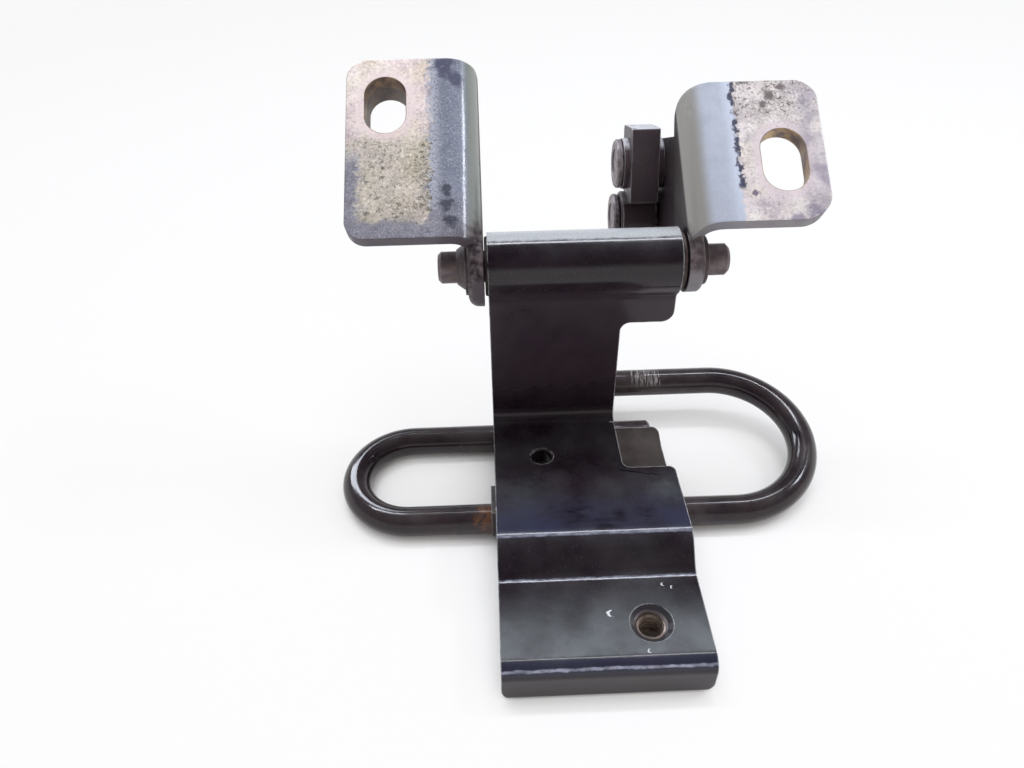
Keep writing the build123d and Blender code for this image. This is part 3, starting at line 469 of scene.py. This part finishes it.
# the upper faces of the check gear are scoured nearly white
def gearMarks(coat):
    tree, place = coat["tree"], coat["place"]
    top = addNode(tree, "MapRange", softStep, coat["facing"].outputs[2], *gearScour["upward"])
    top = addNode(tree, "Math", times, top, cloud(tree, place, *gearScour["patch"]))
    coat["colour"] = addNode(tree, "Mix", overlay, top, coat["colour"], ink(gearScour["tint"]))
    coat["gloss"] = addNode(tree, "Math", plus, coat["gloss"], addNode(tree, "Math", times, top, gearScour["dull"]))


gearLook["marks"] = gearMarks
dress(dipCoat("black check gear", gearLook), "outer_sleeve", "inner_sleeve", "stop_block", "check_roller")

rodLook = {"coat": "#271d25", "deep": "#1c151c", "blotch": 8.0, "dust": 0.25, "dustPatch": 10.0,
           "dustTint": "#8a8582", "grime": 0.40, "grimePatch": 9.0, "grimeTint": "#4e403b", "grit": 0.25,
           "rough": 0.14, "edge": 0.3, "rubAndHighlight": 0.0, "peel": 1.4, "peelDepth": 0.05, "lacquer": 0.55,
           "sheen": 0.12}
rodWear = {"leg": (24.0, 25.0), "span": ((12.2, 12.5), (26.7, 26.4)), "bright": ((17.2, 18.0), (26.3, 26.2)),
           "upward": (0.30, 0.75), "steel": "#c9c4c0", "bare": "#38302f", "bareShare": 0.85,
           "rustSpot": (-26.0, -15.2, 5.5), "rustReach": 6.5, "rust": "#8a5a3a",
           "matt": ((-39.5, -27.5), (36.0, 26.0)), "mattPatch": (2.5, 0.30, 0.66, 6.0, 0.15, 0.7),
           "mattTint": "#4a4142", "dull": 0.25}


# the free leg is rubbed to bare steel by the roller; rust creeps out of the retainer's ear
def rodMarks(coat):
    tree, place, axes = coat["tree"], coat["place"], coat["axes"]
    along = axes.outputs[0]
    onLeg = addNode(tree, "MapRange", softStep, axes.outputs[1], *rodWear["leg"])
    left, right = rodWear["span"]
    span = addNode(tree, "Math", times, addNode(tree, "MapRange", softStep, along, *left),
                   addNode(tree, "MapRange", softStep, along, *right))
    span = addNode(tree, "Math", times, span, onLeg)
    worn = addNode(tree, "Math", times, span, rodWear["bareShare"])
    coat["colour"] = addNode(tree, "Mix", overlay, worn, coat["colour"], ink(rodWear["bare"]))
    left, right = rodWear["bright"]
    shine = addNode(tree, "Math", times, addNode(tree, "MapRange", softStep, along, *left),
                    addNode(tree, "MapRange", softStep, along, *right))
    top = addNode(tree, "MapRange", softStep, coat["facing"].outputs[2], *rodWear["upward"])
    shine = addNode(tree, "Math", times, addNode(tree, "Math", times, shine, onLeg), top)
    # scratches: dashes that run round the rod, a quarter of a millimetre apart
    shine = addNode(tree, "Math", times, shine, cloud(tree, place, 2.4, 0.49, 0.57, 3.0, stretch=(9.0, 0.6, 0.6)))
    coat["colour"] = addNode(tree, "Mix", overlay, shine, coat["colour"], ink(rodWear["steel"]))
    rusty = addNode(tree, "Math", times, nearPoint(tree, place, rodWear["rustSpot"], rodWear["rustReach"], 4.0),
                    cloud(tree, place, 1.6, 0.36, 0.52, 5.0))
    coat["colour"] = addNode(tree, "Mix", overlay, rusty, coat["colour"], ink(rodWear["rust"]))
    # matt and dusty beside the plate, gloss round the bends
    left, right = rodWear["matt"]
    beside = addNode(tree, "Math", times, addNode(tree, "MapRange", softStep, along, *left),
                     addNode(tree, "MapRange", softStep, along, *right))
    film = addNode(tree, "Math", times, beside, patchy(tree, place, *rodWear["mattPatch"]))
    coat["colour"] = addNode(tree, "Mix", overlay, film, coat["colour"], ink(rodWear["mattTint"]))
    dull = addNode(tree, "Math", larger, addNode(tree, "Math", larger, span, beside), rusty)
    dull = addNode(tree, "Math", times, dull, rodWear["dull"])
    coat["gloss"] = addNode(tree, "Math", plus, coat["gloss"], dull)


rodLook["marks"] = rodMarks
dress(dipCoat("gloss black coat on spring rod", rodLook), "torsion_rod")
print("coated pieces dressed")

# wing plates: zinc plated and yellow passivated steel, matt and freckled with corrosion, with
# semi-gloss paint over the bends and a ragged edge where the two meet; the paint's pale blue-grey is partly painted
# reflection
leftLook = {"side": -1.0, "edgeAt": 38.0, "slotX": -48.9, "slotU": 37.9, "slotWide": 10.2, "slotLong": 15.9,
            "paint": "#7f8594", "paintNear": "#a9acb8", "paintDark": "#666b7c", "web": "#80857e", "bandU": 6.0,
            "bandX": 55.6, "bandTop": 22.0, "freckles": (31.5, 25.5), "crowdFloor": 0.30, "earTop": 74.0,
            "flecks": 0.5, "fleckSpan": (2.0, 52.0), "fleckShare": (0.50, 0.56), "ground": "#cabbb0",
            "cream": "#e6dcd2", "gold": "#d0bc90", "pink": "#d6c2c6", "cutEdge": "#554e54", "earTint": "#32292c",
            "fray": 5.0, "pits": 0.8, "wallDark": "#46352f", "wallLight": "#8a6d50", "lilac": (70.0, 72.0),
            "olive": "#a09b86", "oliveShare": 0.75, "ring": "#dccbc8", "gilt": 0.5,
            "patches": [((-34.2, 19.2, 83.5), 2.1, "#3a3b49"), ((-34.0, 16.2, 81.3), 2.3, "#3a3b49"),
                        ((-33.2, 12.6, 78.7), 2.2, "#3a3b49"), ((-34.5, 47.8, 103.6), 3.8, "#40405a"),
                        ((-31.5, 45.0, 101.2), 3.2, "#42445c")]}
rightLook = {"side": 1.0, "edgeAt": 37.2, "slotX": 48.6, "slotU": 19.7, "slotWide": 11.4, "slotLong": 17.1,
             "paint": "#b8bfcd", "paintNear": "#c8d0e0", "paintDark": "#a9b0be", "web": "#97958f", "bandU": -4.0,
             "bandX": 99.0, "bandTop": 0.0, "freckles": (26.0, 36.0), "crowdFloor": 0.30, "earTop": 70.0,
             "flecks": 1.0, "fleckSpan": (11.0, 47.0), "fleckShare": (0.39, 0.46), "ground": "#d4cac6",
             "cream": "#f3ede9", "gold": "#d8cab6", "pink": "#d3c6cf", "cutEdge": "#8a878b", "earTint": "#50474a",
             "fray": 1.4, "pits": 0.12, "wallDark": "#75645c", "wallLight": "#bfa276", "lilac": (50.5, 56.0),
             "olive": "#b9b1ac", "oliveShare": 0.5, "ring": "#dccdd0", "gilt": 0.3,
             "patches": [((40.4, 16.6, 81.6), 1.1, "#74677a"), ((47.0, 38.8, 97.2), 2.0, "#6d6060"),
                         ((50.0, 40.5, 98.6), 1.8, "#6d6060"), ((45.0, 36.5, 95.6), 1.4, "#6d6060"),
                         ((54.5, 12.5, 78.8), 3.0, "#8f8694"), ((50.0, 11.0, 77.7), 2.4, "#9b92a0")]}
# what both wings share: tints, grains in mm, spans outwards in mm from the middle of the hinge
wingFilm = {"stain": "#8f8784", "grain": 0.7, "pale": "#f1ece0", "grey": "#776e62", "freckleGrain": 1.0,
            "freckle": "#575043", "ringGrey": "#8f8585", "murkDark": "#67616a", "murkPale": "#85828c",
            "pit": "#585b6c", "mote": "#bcbec6", "fleck": "#3f4154", "lilac": "#978f9c", "earPale": "#7a7073",
            "inside": "#2c2328", "ringSpan": (4.0, 2.0), "wallSpan": (0.25, 0.05), "lowPaint": (16.0, 4.0),
            "toWeb": (30.5, 27.5), "outerEdge": (50.0, 52.0), "pastWall": (0.3, 0.6), "earSpan": (34.0, 31.0),
            "insideFacing": (0.955, 0.985), "insideSpan": (27.0, 26.0), "coatRough": 0.08}


def wingPlate(name, look):
    material, tree, place, normal, shader = startMaterial(name)
    axes = addNode(tree, "SeparateXYZ", None, place).node
    facing = addNode(tree, "SeparateXYZ", None, normal).node
    alongU = addNode(tree, "Math", minus, addNode(tree, "VectorMath", dot, place, alongPlate),
                     pinAxis["y"] * alongPlate[1] + pinAxis["z"] * alongPlate[2])
    outward = addNode(tree, "Math", times, axes.outputs[0], look["side"])
    shifted = addNode(tree, "Mapping", None, place, Location=(31, 7, 3))
    # passivated zinc: cream, gold and pink clouds over a beige ground, with grey stains
    colour = addNode(tree, "Mix", overlay, cloud(tree, place, 6.0, 0.38, 0.66, 5.0),
                     ink(look["ground"]), ink(look["cream"]))
    gilt = addNode(tree, "Math", times, cloud(tree, place, 9.0, 0.50, 0.74, 4.0), look["gilt"])
    colour = addNode(tree, "Mix", overlay, gilt, colour, ink(look["gold"]))
    blush = addNode(tree, "Math", times, cloud(tree, shifted, 10.0, 0.46, 0.64, 4.0), 0.75)
    colour = addNode(tree, "Mix", overlay, blush, colour, ink(look["pink"]))
    stain = addNode(tree, "Math", times, cloud(tree, shifted, 5.0, 0.50, 0.72, 6.0), 0.5)
    colour = addNode(tree, "Mix", overlay, stain, colour, ink(wingFilm["stain"]))
    # freckles of corrosion, about 0.6 mm, that crowd together away from the washer's mark
    crowd = addNode(tree, "Math", times, addNode(tree, "MapRange", softStep, alongU, *look["freckles"]),
                    patchy(tree, shifted, 8.0, 0.30, 0.58, 4.0, 0.35, 1.0))
    crowd = addNode(tree, "MapRange", None, crowd, 0.0, 1.0, look["crowdFloor"], 1.0)
    fine = addNode(tree, "TexNoise", None, Vector=place, Scale=1 / wingFilm["freckleGrain"], Detail=5.0,
                   Roughness=0.75)
    grain = addNode(tree, "TexNoise", None, Vector=shifted, Scale=1 / wingFilm["grain"], Detail=4.0, Roughness=0.75)
    olive = addNode(tree, "Math", times, addNode(tree, "MapRange", None, crowd, 0.3, 1.0), look["oliveShare"])
    colour = addNode(tree, "Mix", overlay, olive, colour, ink(look["olive"]))
    lighter = addNode(tree, "Math", times, addNode(tree, "MapRange", softStep, grain, 0.54, 0.64), 0.6)
    colour = addNode(tree, "Mix", overlay, lighter, colour, ink(wingFilm["pale"]))
    darker = addNode(tree, "Math", times, addNode(tree, "MapRange", softStep, grain, 0.47, 0.36),
                     addNode(tree, "MapRange", None, crowd, 0.0, 1.0, 0.25, 0.75))
    colour = addNode(tree, "Mix", overlay, darker, colour, ink(wingFilm["grey"]))
    line = addNode(tree, "MapRange", None, crowd, 0.0, 1.0, 0.70, 0.52)
    freckle = addNode(tree, "MapRange", softStep, addNode(tree, "Math", minus, fine, line), 0.0, 0.06)
    freckle = addNode(tree, "Math", times, freckle, 0.85)
    colour = addNode(tree, "Mix", overlay, freckle, colour, ink(wingFilm["freckle"]))
    # the washer's ring round the slot, from the distance to the slot's wall
    sideways = addNode(tree, "Math", minus, axes.outputs[0], look["slotX"])
    endways = addNode(tree, "Math", size, addNode(tree, "Math", minus, alongU, look["slotU"]))
    endways = addNode(tree, "Math", minus, endways, (look["slotLong"] - look["slotWide"]) / 2)
    endways = addNode(tree, "Math", larger, endways, 0.0)
    toWall = addNode(tree, "Math", plus, addNode(tree, "Math", times, sideways, sideways),
                     addNode(tree, "Math", times, endways, endways))
    toWall = addNode(tree, "Math", minus, addNode(tree, "Math", root, toWall), look["slotWide"] / 2)
    frayed = addNode(tree, "Math", plus, toWall, addNode(tree, "Math", times, fine, 2.0))
    ring = addNode(tree, "Math", times, addNode(tree, "MapRange", softStep, frayed, *wingFilm["ringSpan"]), 0.7)
    colour = addNode(tree, "Mix", overlay, ring, colour, ink(look["ring"]))
    greyed = addNode(tree, "Math", times, darker, 0.5)
    colour = addNode(tree, "Mix", overlay, greyed, colour, ink(wingFilm["ringGrey"]))
    rust = addNode(tree, "Mix", overlay, cloud(tree, place, 3.0, 0.36, 0.58, 5.0), ink(look["wallDark"]),
                   ink(look["wallLight"]))
    onWall = addNode(tree, "MapRange", softStep, toWall, *wingFilm["wallSpan"])
    colour = addNode(tree, "Mix", overlay, onWall, colour, rust)
    # paint inside the ragged edge and on the plate's lower rim; its pale blue-grey, lighter on the right wing than
    # the left and paler near the edge, is painted reflection of bright windows on dark satin paint
    wander = addNode(tree, "TexNoise", None, Vector=place, Scale=1 / 3.0, Detail=6.0, Roughness=0.65)
    wander = addNode(tree, "Math", minus, wander, 0.5)
    ragged = addNode(tree, "Math", plus, outward, addNode(tree, "Math", times, wander, 4.0))
    ragged = addNode(tree, "Math", plus, ragged, addNode(tree, "Math", times,
                     addNode(tree, "Math", minus, fine, 0.5), look["fray"] * 2.0))
    painted = addNode(tree, "MapRange", softStep, ragged, look["edgeAt"] + 0.25, look["edgeAt"] - 0.25)
    raggedU = addNode(tree, "Math", plus, alongU, addNode(tree, "Math", times, wander, 7.0))
    raggedU = addNode(tree, "Math", plus, raggedU, addNode(tree, "Math", times,
                      addNode(tree, "Math", minus, fine, 0.5), 6.0))
    band = addNode(tree, "MapRange", softStep, raggedU, look["bandU"] + 1.4, look["bandU"] - 1.4)
    strip = addNode(tree, "Math", times,
                    addNode(tree, "MapRange", softStep, ragged, look["bandX"] - 1.6, look["bandX"] + 1.0),
                    addNode(tree, "MapRange", softStep, raggedU, look["bandTop"] + 4.0, look["bandTop"]))
    painted = addNode(tree, "Math", larger, painted, addNode(tree, "Math", larger, band, strip))
    coat = addNode(tree, "Mix", overlay, cloud(tree, place, 5.0, 0.42, 0.78, 5.0),
                   ink(look["paint"]), ink(look["paintDark"]))
    near = addNode(tree, "MapRange", softStep, outward, look["edgeAt"] - 3.5, look["edgeAt"] - 0.5)
    coat = addNode(tree, "Mix", overlay, near, coat, ink(look["paintNear"]))
    lowPaint = addNode(tree, "MapRange", softStep, alongU, *wingFilm["lowPaint"])
    lowPaint = addNode(tree, "Math", times, addNode(tree, "Math", larger, lowPaint, strip), look["pits"])
    murk = addNode(tree, "Mix", overlay, cloud(tree, shifted, 2.5, 0.36, 0.62, 6.0),
                   ink(wingFilm["murkDark"]), ink(wingFilm["murkPale"]))
    coat = addNode(tree, "Mix", overlay, lowPaint, coat, murk)
    pits = addNode(tree, "Math", times, cloud(tree, place, 0.5, 0.50, 0.62, 4.0), look["pits"] * 0.8)
    coat = addNode(tree, "Mix", overlay, pits, coat, ink(wingFilm["pit"]))
    motes = addNode(tree, "Math", times, cloud(tree, shifted, 0.45, 0.54, 0.66, 4.0), look["pits"] * 0.6)
    coat = addNode(tree, "Mix", overlay, motes, coat, ink(wingFilm["mote"]))
    toWeb = addNode(tree, "MapRange", softStep, outward, *wingFilm["toWeb"])
    coat = addNode(tree, "Mix", overlay, toWeb, coat, ink(look["web"]))
    colour = addNode(tree, "Mix", overlay, painted, colour, coat)
    # dark flecks of thicker paint along the ragged edge
    gap = addNode(tree, "Math", size, addNode(tree, "Math", minus, ragged, look["edgeAt"] + 0.2))
    fleck = addNode(tree, "Math", times, addNode(tree, "MapRange", softStep, gap, 0.95, 0.4),
                    cloud(tree, place, 2.6, *look["fleckShare"], 5.0))
    first, last = look["fleckSpan"]
    fleck = addNode(tree, "Math", times, fleck, addNode(tree, "MapRange", softStep, alongU, first, first + 2.0))
    fleck = addNode(tree, "Math", times, fleck, addNode(tree, "MapRange", softStep, alongU, last, last - 2.0))
    fleck = addNode(tree, "Math", times, fleck, look["flecks"])
    colour = addNode(tree, "Mix", overlay, fleck, colour, ink(wingFilm["fleck"]))
    # lilac bloom towards the outer edge
    lilac = addNode(tree, "Math", times, addNode(tree, "MapRange", softStep, outward, *look["lilac"]),
                    patchy(tree, place, 4.0, 0.34, 0.62, 7.0, 0.1, 0.8))
    colour = addNode(tree, "Mix", overlay, lilac, colour, ink(wingFilm["lilac"]))
    for point, reach, tint in look["patches"]:
        patch = addNode(tree, "Math", times, nearPoint(tree, place, point, reach, reach * 0.6),
                        cloud(tree, place, 1.0, 0.24, 0.40, 6.0))
        patch = addNode(tree, "Math", times, patch, 0.95)
        colour = addNode(tree, "Mix", overlay, patch, colour, ink(tint))
    # sheared edges and the ears are bare, oily and brown
    edgeU = addNode(tree, "Math", size, addNode(tree, "VectorMath", dot, normal, alongPlate))
    edgeX = addNode(tree, "Math", times,
                    addNode(tree, "MapRange", softStep, addNode(tree, "Math", size, facing.outputs[0]), 0.6, 0.8),
                    addNode(tree, "MapRange", softStep, outward, *wingFilm["outerEdge"]))
    sheared = addNode(tree, "Math", larger, addNode(tree, "MapRange", softStep, edgeU, 0.6, 0.8), edgeX)
    sheared = addNode(tree, "Math", times, sheared,
                      addNode(tree, "MapRange", softStep, toWall, *wingFilm["pastWall"]))
    sheared = addNode(tree, "Math", times, sheared, 0.9)
    low = addNode(tree, "Math", plus, axes.outputs[2], addNode(tree, "Math", times, wander, 6.0))
    ear = addNode(tree, "Math", times, addNode(tree, "MapRange", softStep, low, look["earTop"] + 5.0, look["earTop"]),
                  addNode(tree, "MapRange", softStep, outward, *wingFilm["earSpan"]))
    steel = addNode(tree, "Mix", overlay, cloud(tree, place, 1.8, 0.40, 0.75, 5.0), ink(look["earTint"]),
                    ink(wingFilm["earPale"]))
    colour = addNode(tree, "Mix", overlay, ear, colour, steel)
    colour = addNode(tree, "Mix", overlay, sheared, colour, ink(look["cutEdge"]))
    # painted shade: the web's inner face, turned to the middle, is painted near-black
    inside = addNode(tree, "Math", times, facing.outputs[0], -look["side"])
    inside = addNode(tree, "Math", times, addNode(tree, "MapRange", softStep, inside, *wingFilm["insideFacing"]),
                     addNode(tree, "MapRange", softStep, outward, *wingFilm["insideSpan"]))
    innerShade = addNode(tree, "Math", times, inside, 0.92)
    colour = addNode(tree, "Mix", overlay, innerShade, colour, ink(wingFilm["inside"]))
    dark = addNode(tree, "Math", larger, sheared, addNode(tree, "Math", larger, ear, inside))
    gloss = addNode(tree, "MapRange", None, painted, 0.0, 1.0, 0.46, 0.28)
    gloss = addNode(tree, "Math", plus, gloss, addNode(tree, "Math", times, freckle, 0.2))
    gloss = addNode(tree, "Math", plus, gloss, addNode(tree, "Math", times, dark, 0.15))
    bare = addNode(tree, "Math", minus, 1.0, addNode(tree, "Math", larger, painted, dark))
    metal = addNode(tree, "Math", times, bare, 0.25)
    rounded = addNode(tree, "Bevel", {"samples": 4}, Radius=0.5 * mm)
    relief = addNode(tree, "Math", minus, addNode(tree, "Math", times, painted, 0.6),
                     addNode(tree, "Math", times, freckle, 0.8))
    bump = addNode(tree, "Bump", None, Strength=0.35, Distance=0.10 * mm, Height=relief, Normal=rounded)
    bump = addNode(tree, "Bump", None, Strength=0.30, Distance=0.05 * mm, Height=grain, Normal=bump)
    for value, socket in ((colour, "Base Color"), (gloss, "Roughness"), (metal, "Metallic"), (bump, "Normal")):
        tree.links.new(value, shader.inputs[socket])
    # a thin gloss over the paint, none over cut steel, which is too rough to mirror the floor
    tree.links.new(addNode(tree, "Math", times, addNode(tree, "Math", minus, painted, dark), 0.35),
                   shader.inputs["Coat Weight"])
    tree.links.new(addNode(tree, "MapRange", None, dark, 0.0, 1.0, 0.5, 0.15), shader.inputs["Specular IOR Level"])
    shader.inputs["Coat Roughness"].default_value = wingFilm["coatRough"]
    return material


dress(wingPlate("passivated zinc and blue-grey paint, left wing", leftLook), "left_wing")
dress(wingPlate("passivated zinc and blue-grey paint, right wing", rightLook), "right_wing")


# turned and drawn steel: oiled, dull grey-brown, darker in patches, with a brighter rim that is rubbed steel and
# painted edge highlight
def oiledSteel(name, look):
    material, tree, place, normal, shader = startMaterial(name)
    colour = addNode(tree, "Mix", overlay, cloud(tree, place, look["patch"], 0.40, 0.66, 5.0),
                     ink(look["steel"]), ink(look["stain"]))
    rust = addNode(tree, "Math", times, cloud(tree, place, look["patch"] * 0.45, 0.56, 0.66, 6.0), look["rustShare"])
    colour = addNode(tree, "Mix", overlay, rust, colour, ink(look["rust"]))
    # painted highlight on the rounded rims, partly rubbed steel
    rounded = addNode(tree, "Bevel", {"samples": 4}, Radius=0.35 * mm)
    true = addNode(tree, "NewGeometry").node.outputs["Normal"]
    rim = addNode(tree, "MapRange", softStep, addNode(tree, "VectorMath", dot, rounded, true), 0.98, 0.85)
    rim = addNode(tree, "Math", times, rim, 0.75)
    colour = addNode(tree, "Mix", overlay, rim, colour, ink(look["bright"]))
    if "shadedAbove" in look:   # painted shade: the countersink over this height in mm is painted dark, where its cone lies in shadow
        height = addNode(tree, "SeparateXYZ", None, place).node.outputs[2]
        sinkShade = addNode(tree, "MapRange", softStep, height, look["shadedAbove"], look["shadedAbove"] + 0.12, 0.0, 0.9)
        colour = addNode(tree, "Mix", overlay, sinkShade, colour, ink(look["sinkShade"]))
    fine = addNode(tree, "TexNoise", None, Vector=place, Scale=1 / 0.5, Detail=4.0)
    bump = addNode(tree, "Bump", None, Strength=0.2, Distance=0.05 * mm, Height=fine, Normal=rounded)
    tree.links.new(colour, shader.inputs["Base Color"])
    tree.links.new(bump, shader.inputs["Normal"])
    shader.inputs["Metallic"].default_value = look["metal"]
    shader.inputs["Roughness"].default_value = look["rough"]
    return material


pinLook = {"steel": "#736769", "stain": "#554b4e", "patch": 3.0, "rust": "#7a5a48", "rustShare": 0.35,
           "bright": "#9f9896", "metal": 0.35, "rough": 0.46}
collarLook = {"steel": "#574c4e", "stain": "#3f3638", "patch": 2.5, "rust": "#6f5444", "rustShare": 0.4,
              "bright": "#958d8b", "metal": 0.3, "rough": 0.5}
studLook = {"steel": "#92898d", "stain": "#4e4448", "patch": 1.6, "rust": "#5d4c48", "rustShare": 0.3,
            "bright": "#b4b0b2", "metal": 0.25, "rough": 0.45}
backingLook = {"steel": "#6f6259", "stain": "#4b413c", "patch": 4.0, "rust": "#7a5840", "rustShare": 0.4,
               "bright": "#8f8579", "metal": 0.3, "rough": 0.5}
nutLook = {"steel": "#a8978c", "stain": "#7d6a5f", "patch": 1.5, "rust": "#8a6450", "rustShare": 0.35,
           "bright": "#e0d5cb", "metal": 0.35, "rough": 0.36, "shadedAbove": 9.46,
           "sinkShade": "#2b2327"}
bushLook = {"steel": "#463c3a", "stain": "#2e2626", "patch": 1.8, "rust": "#7b5a45", "rustShare": 0.3,
            "bright": "#7e726c", "metal": 0.2, "rough": 0.55}
dress(oiledSteel("oiled steel of the hinge pin", pinLook), "hinge_pin")
dress(oiledSteel("oiled steel of collar and washer", collarLook), "pin_collar", "pin_washer")
dress(oiledSteel("dark steel of the studs", studLook), "upper_stud", "lower_stud")
dress(oiledSteel("stained zinc of the slot backing", backingLook), "slot_backing_plate")
nutSteel = oiledSteel("worn steel of the threaded hole", nutLook)
dress(nutSteel, "weld_nut")
dress(oiledSteel("greasy bronze liner of the bushes", bushLook), "bush_left", "bush_right")
print("steel pieces dressed")

thread = {"centre": (10.0, -54.03), "wall": 3.40, "depth": 0.62, "pitch": 1.25, "top": 9.95, "bottom": 2.4,
          "around": 120, "perTurn": 16, "sinkFrom": 9.4, "sinkGrowth": 1.31, "runOut": 0.25,
          "narrow": 1.45}


# thread in the door bolt hole: radius = wall minus a ridge, a triangle across one pitch, that climbs
# one pitch per turn and runs out at both ends; the wall widens in the countersink
def cutThread():
    rows = int((thread["top"] - thread["bottom"]) / thread["pitch"] * thread["perTurn"])
    turn, height = np.meshgrid(np.linspace(0, 2 * np.pi, thread["around"], endpoint=False),
                               np.linspace(thread["bottom"], thread["top"], rows), indexing="ij")
    phase = height / thread["pitch"] - turn / (2 * np.pi)
    ridge = np.clip(1 - np.abs(2 * (phase % 1) - 1) * thread["narrow"], 0, None)
    runOut = thread["runOut"]
    fade = np.clip((thread["top"] - height) / runOut, 0, 1) * np.clip((height - thread["bottom"]) / runOut, 0, 1)
    wall = thread["wall"] + np.clip(height - thread["sinkFrom"], 0, None) * thread["sinkGrowth"]
    radius = wall - thread["depth"] * ridge * fade
    points = np.stack([thread["centre"][0] + radius * np.cos(turn),
                       thread["centre"][1] + radius * np.sin(turn), height], axis=-1)
    piece = gridPiece("bolt_thread", points, closeRows=True)
    piece.data.flip_normals()   # the wall is seen from inside the hole
    piece.data.materials.append(nutSteel)
    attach(piece, "leaf")


cutThread()
print("thread cut")
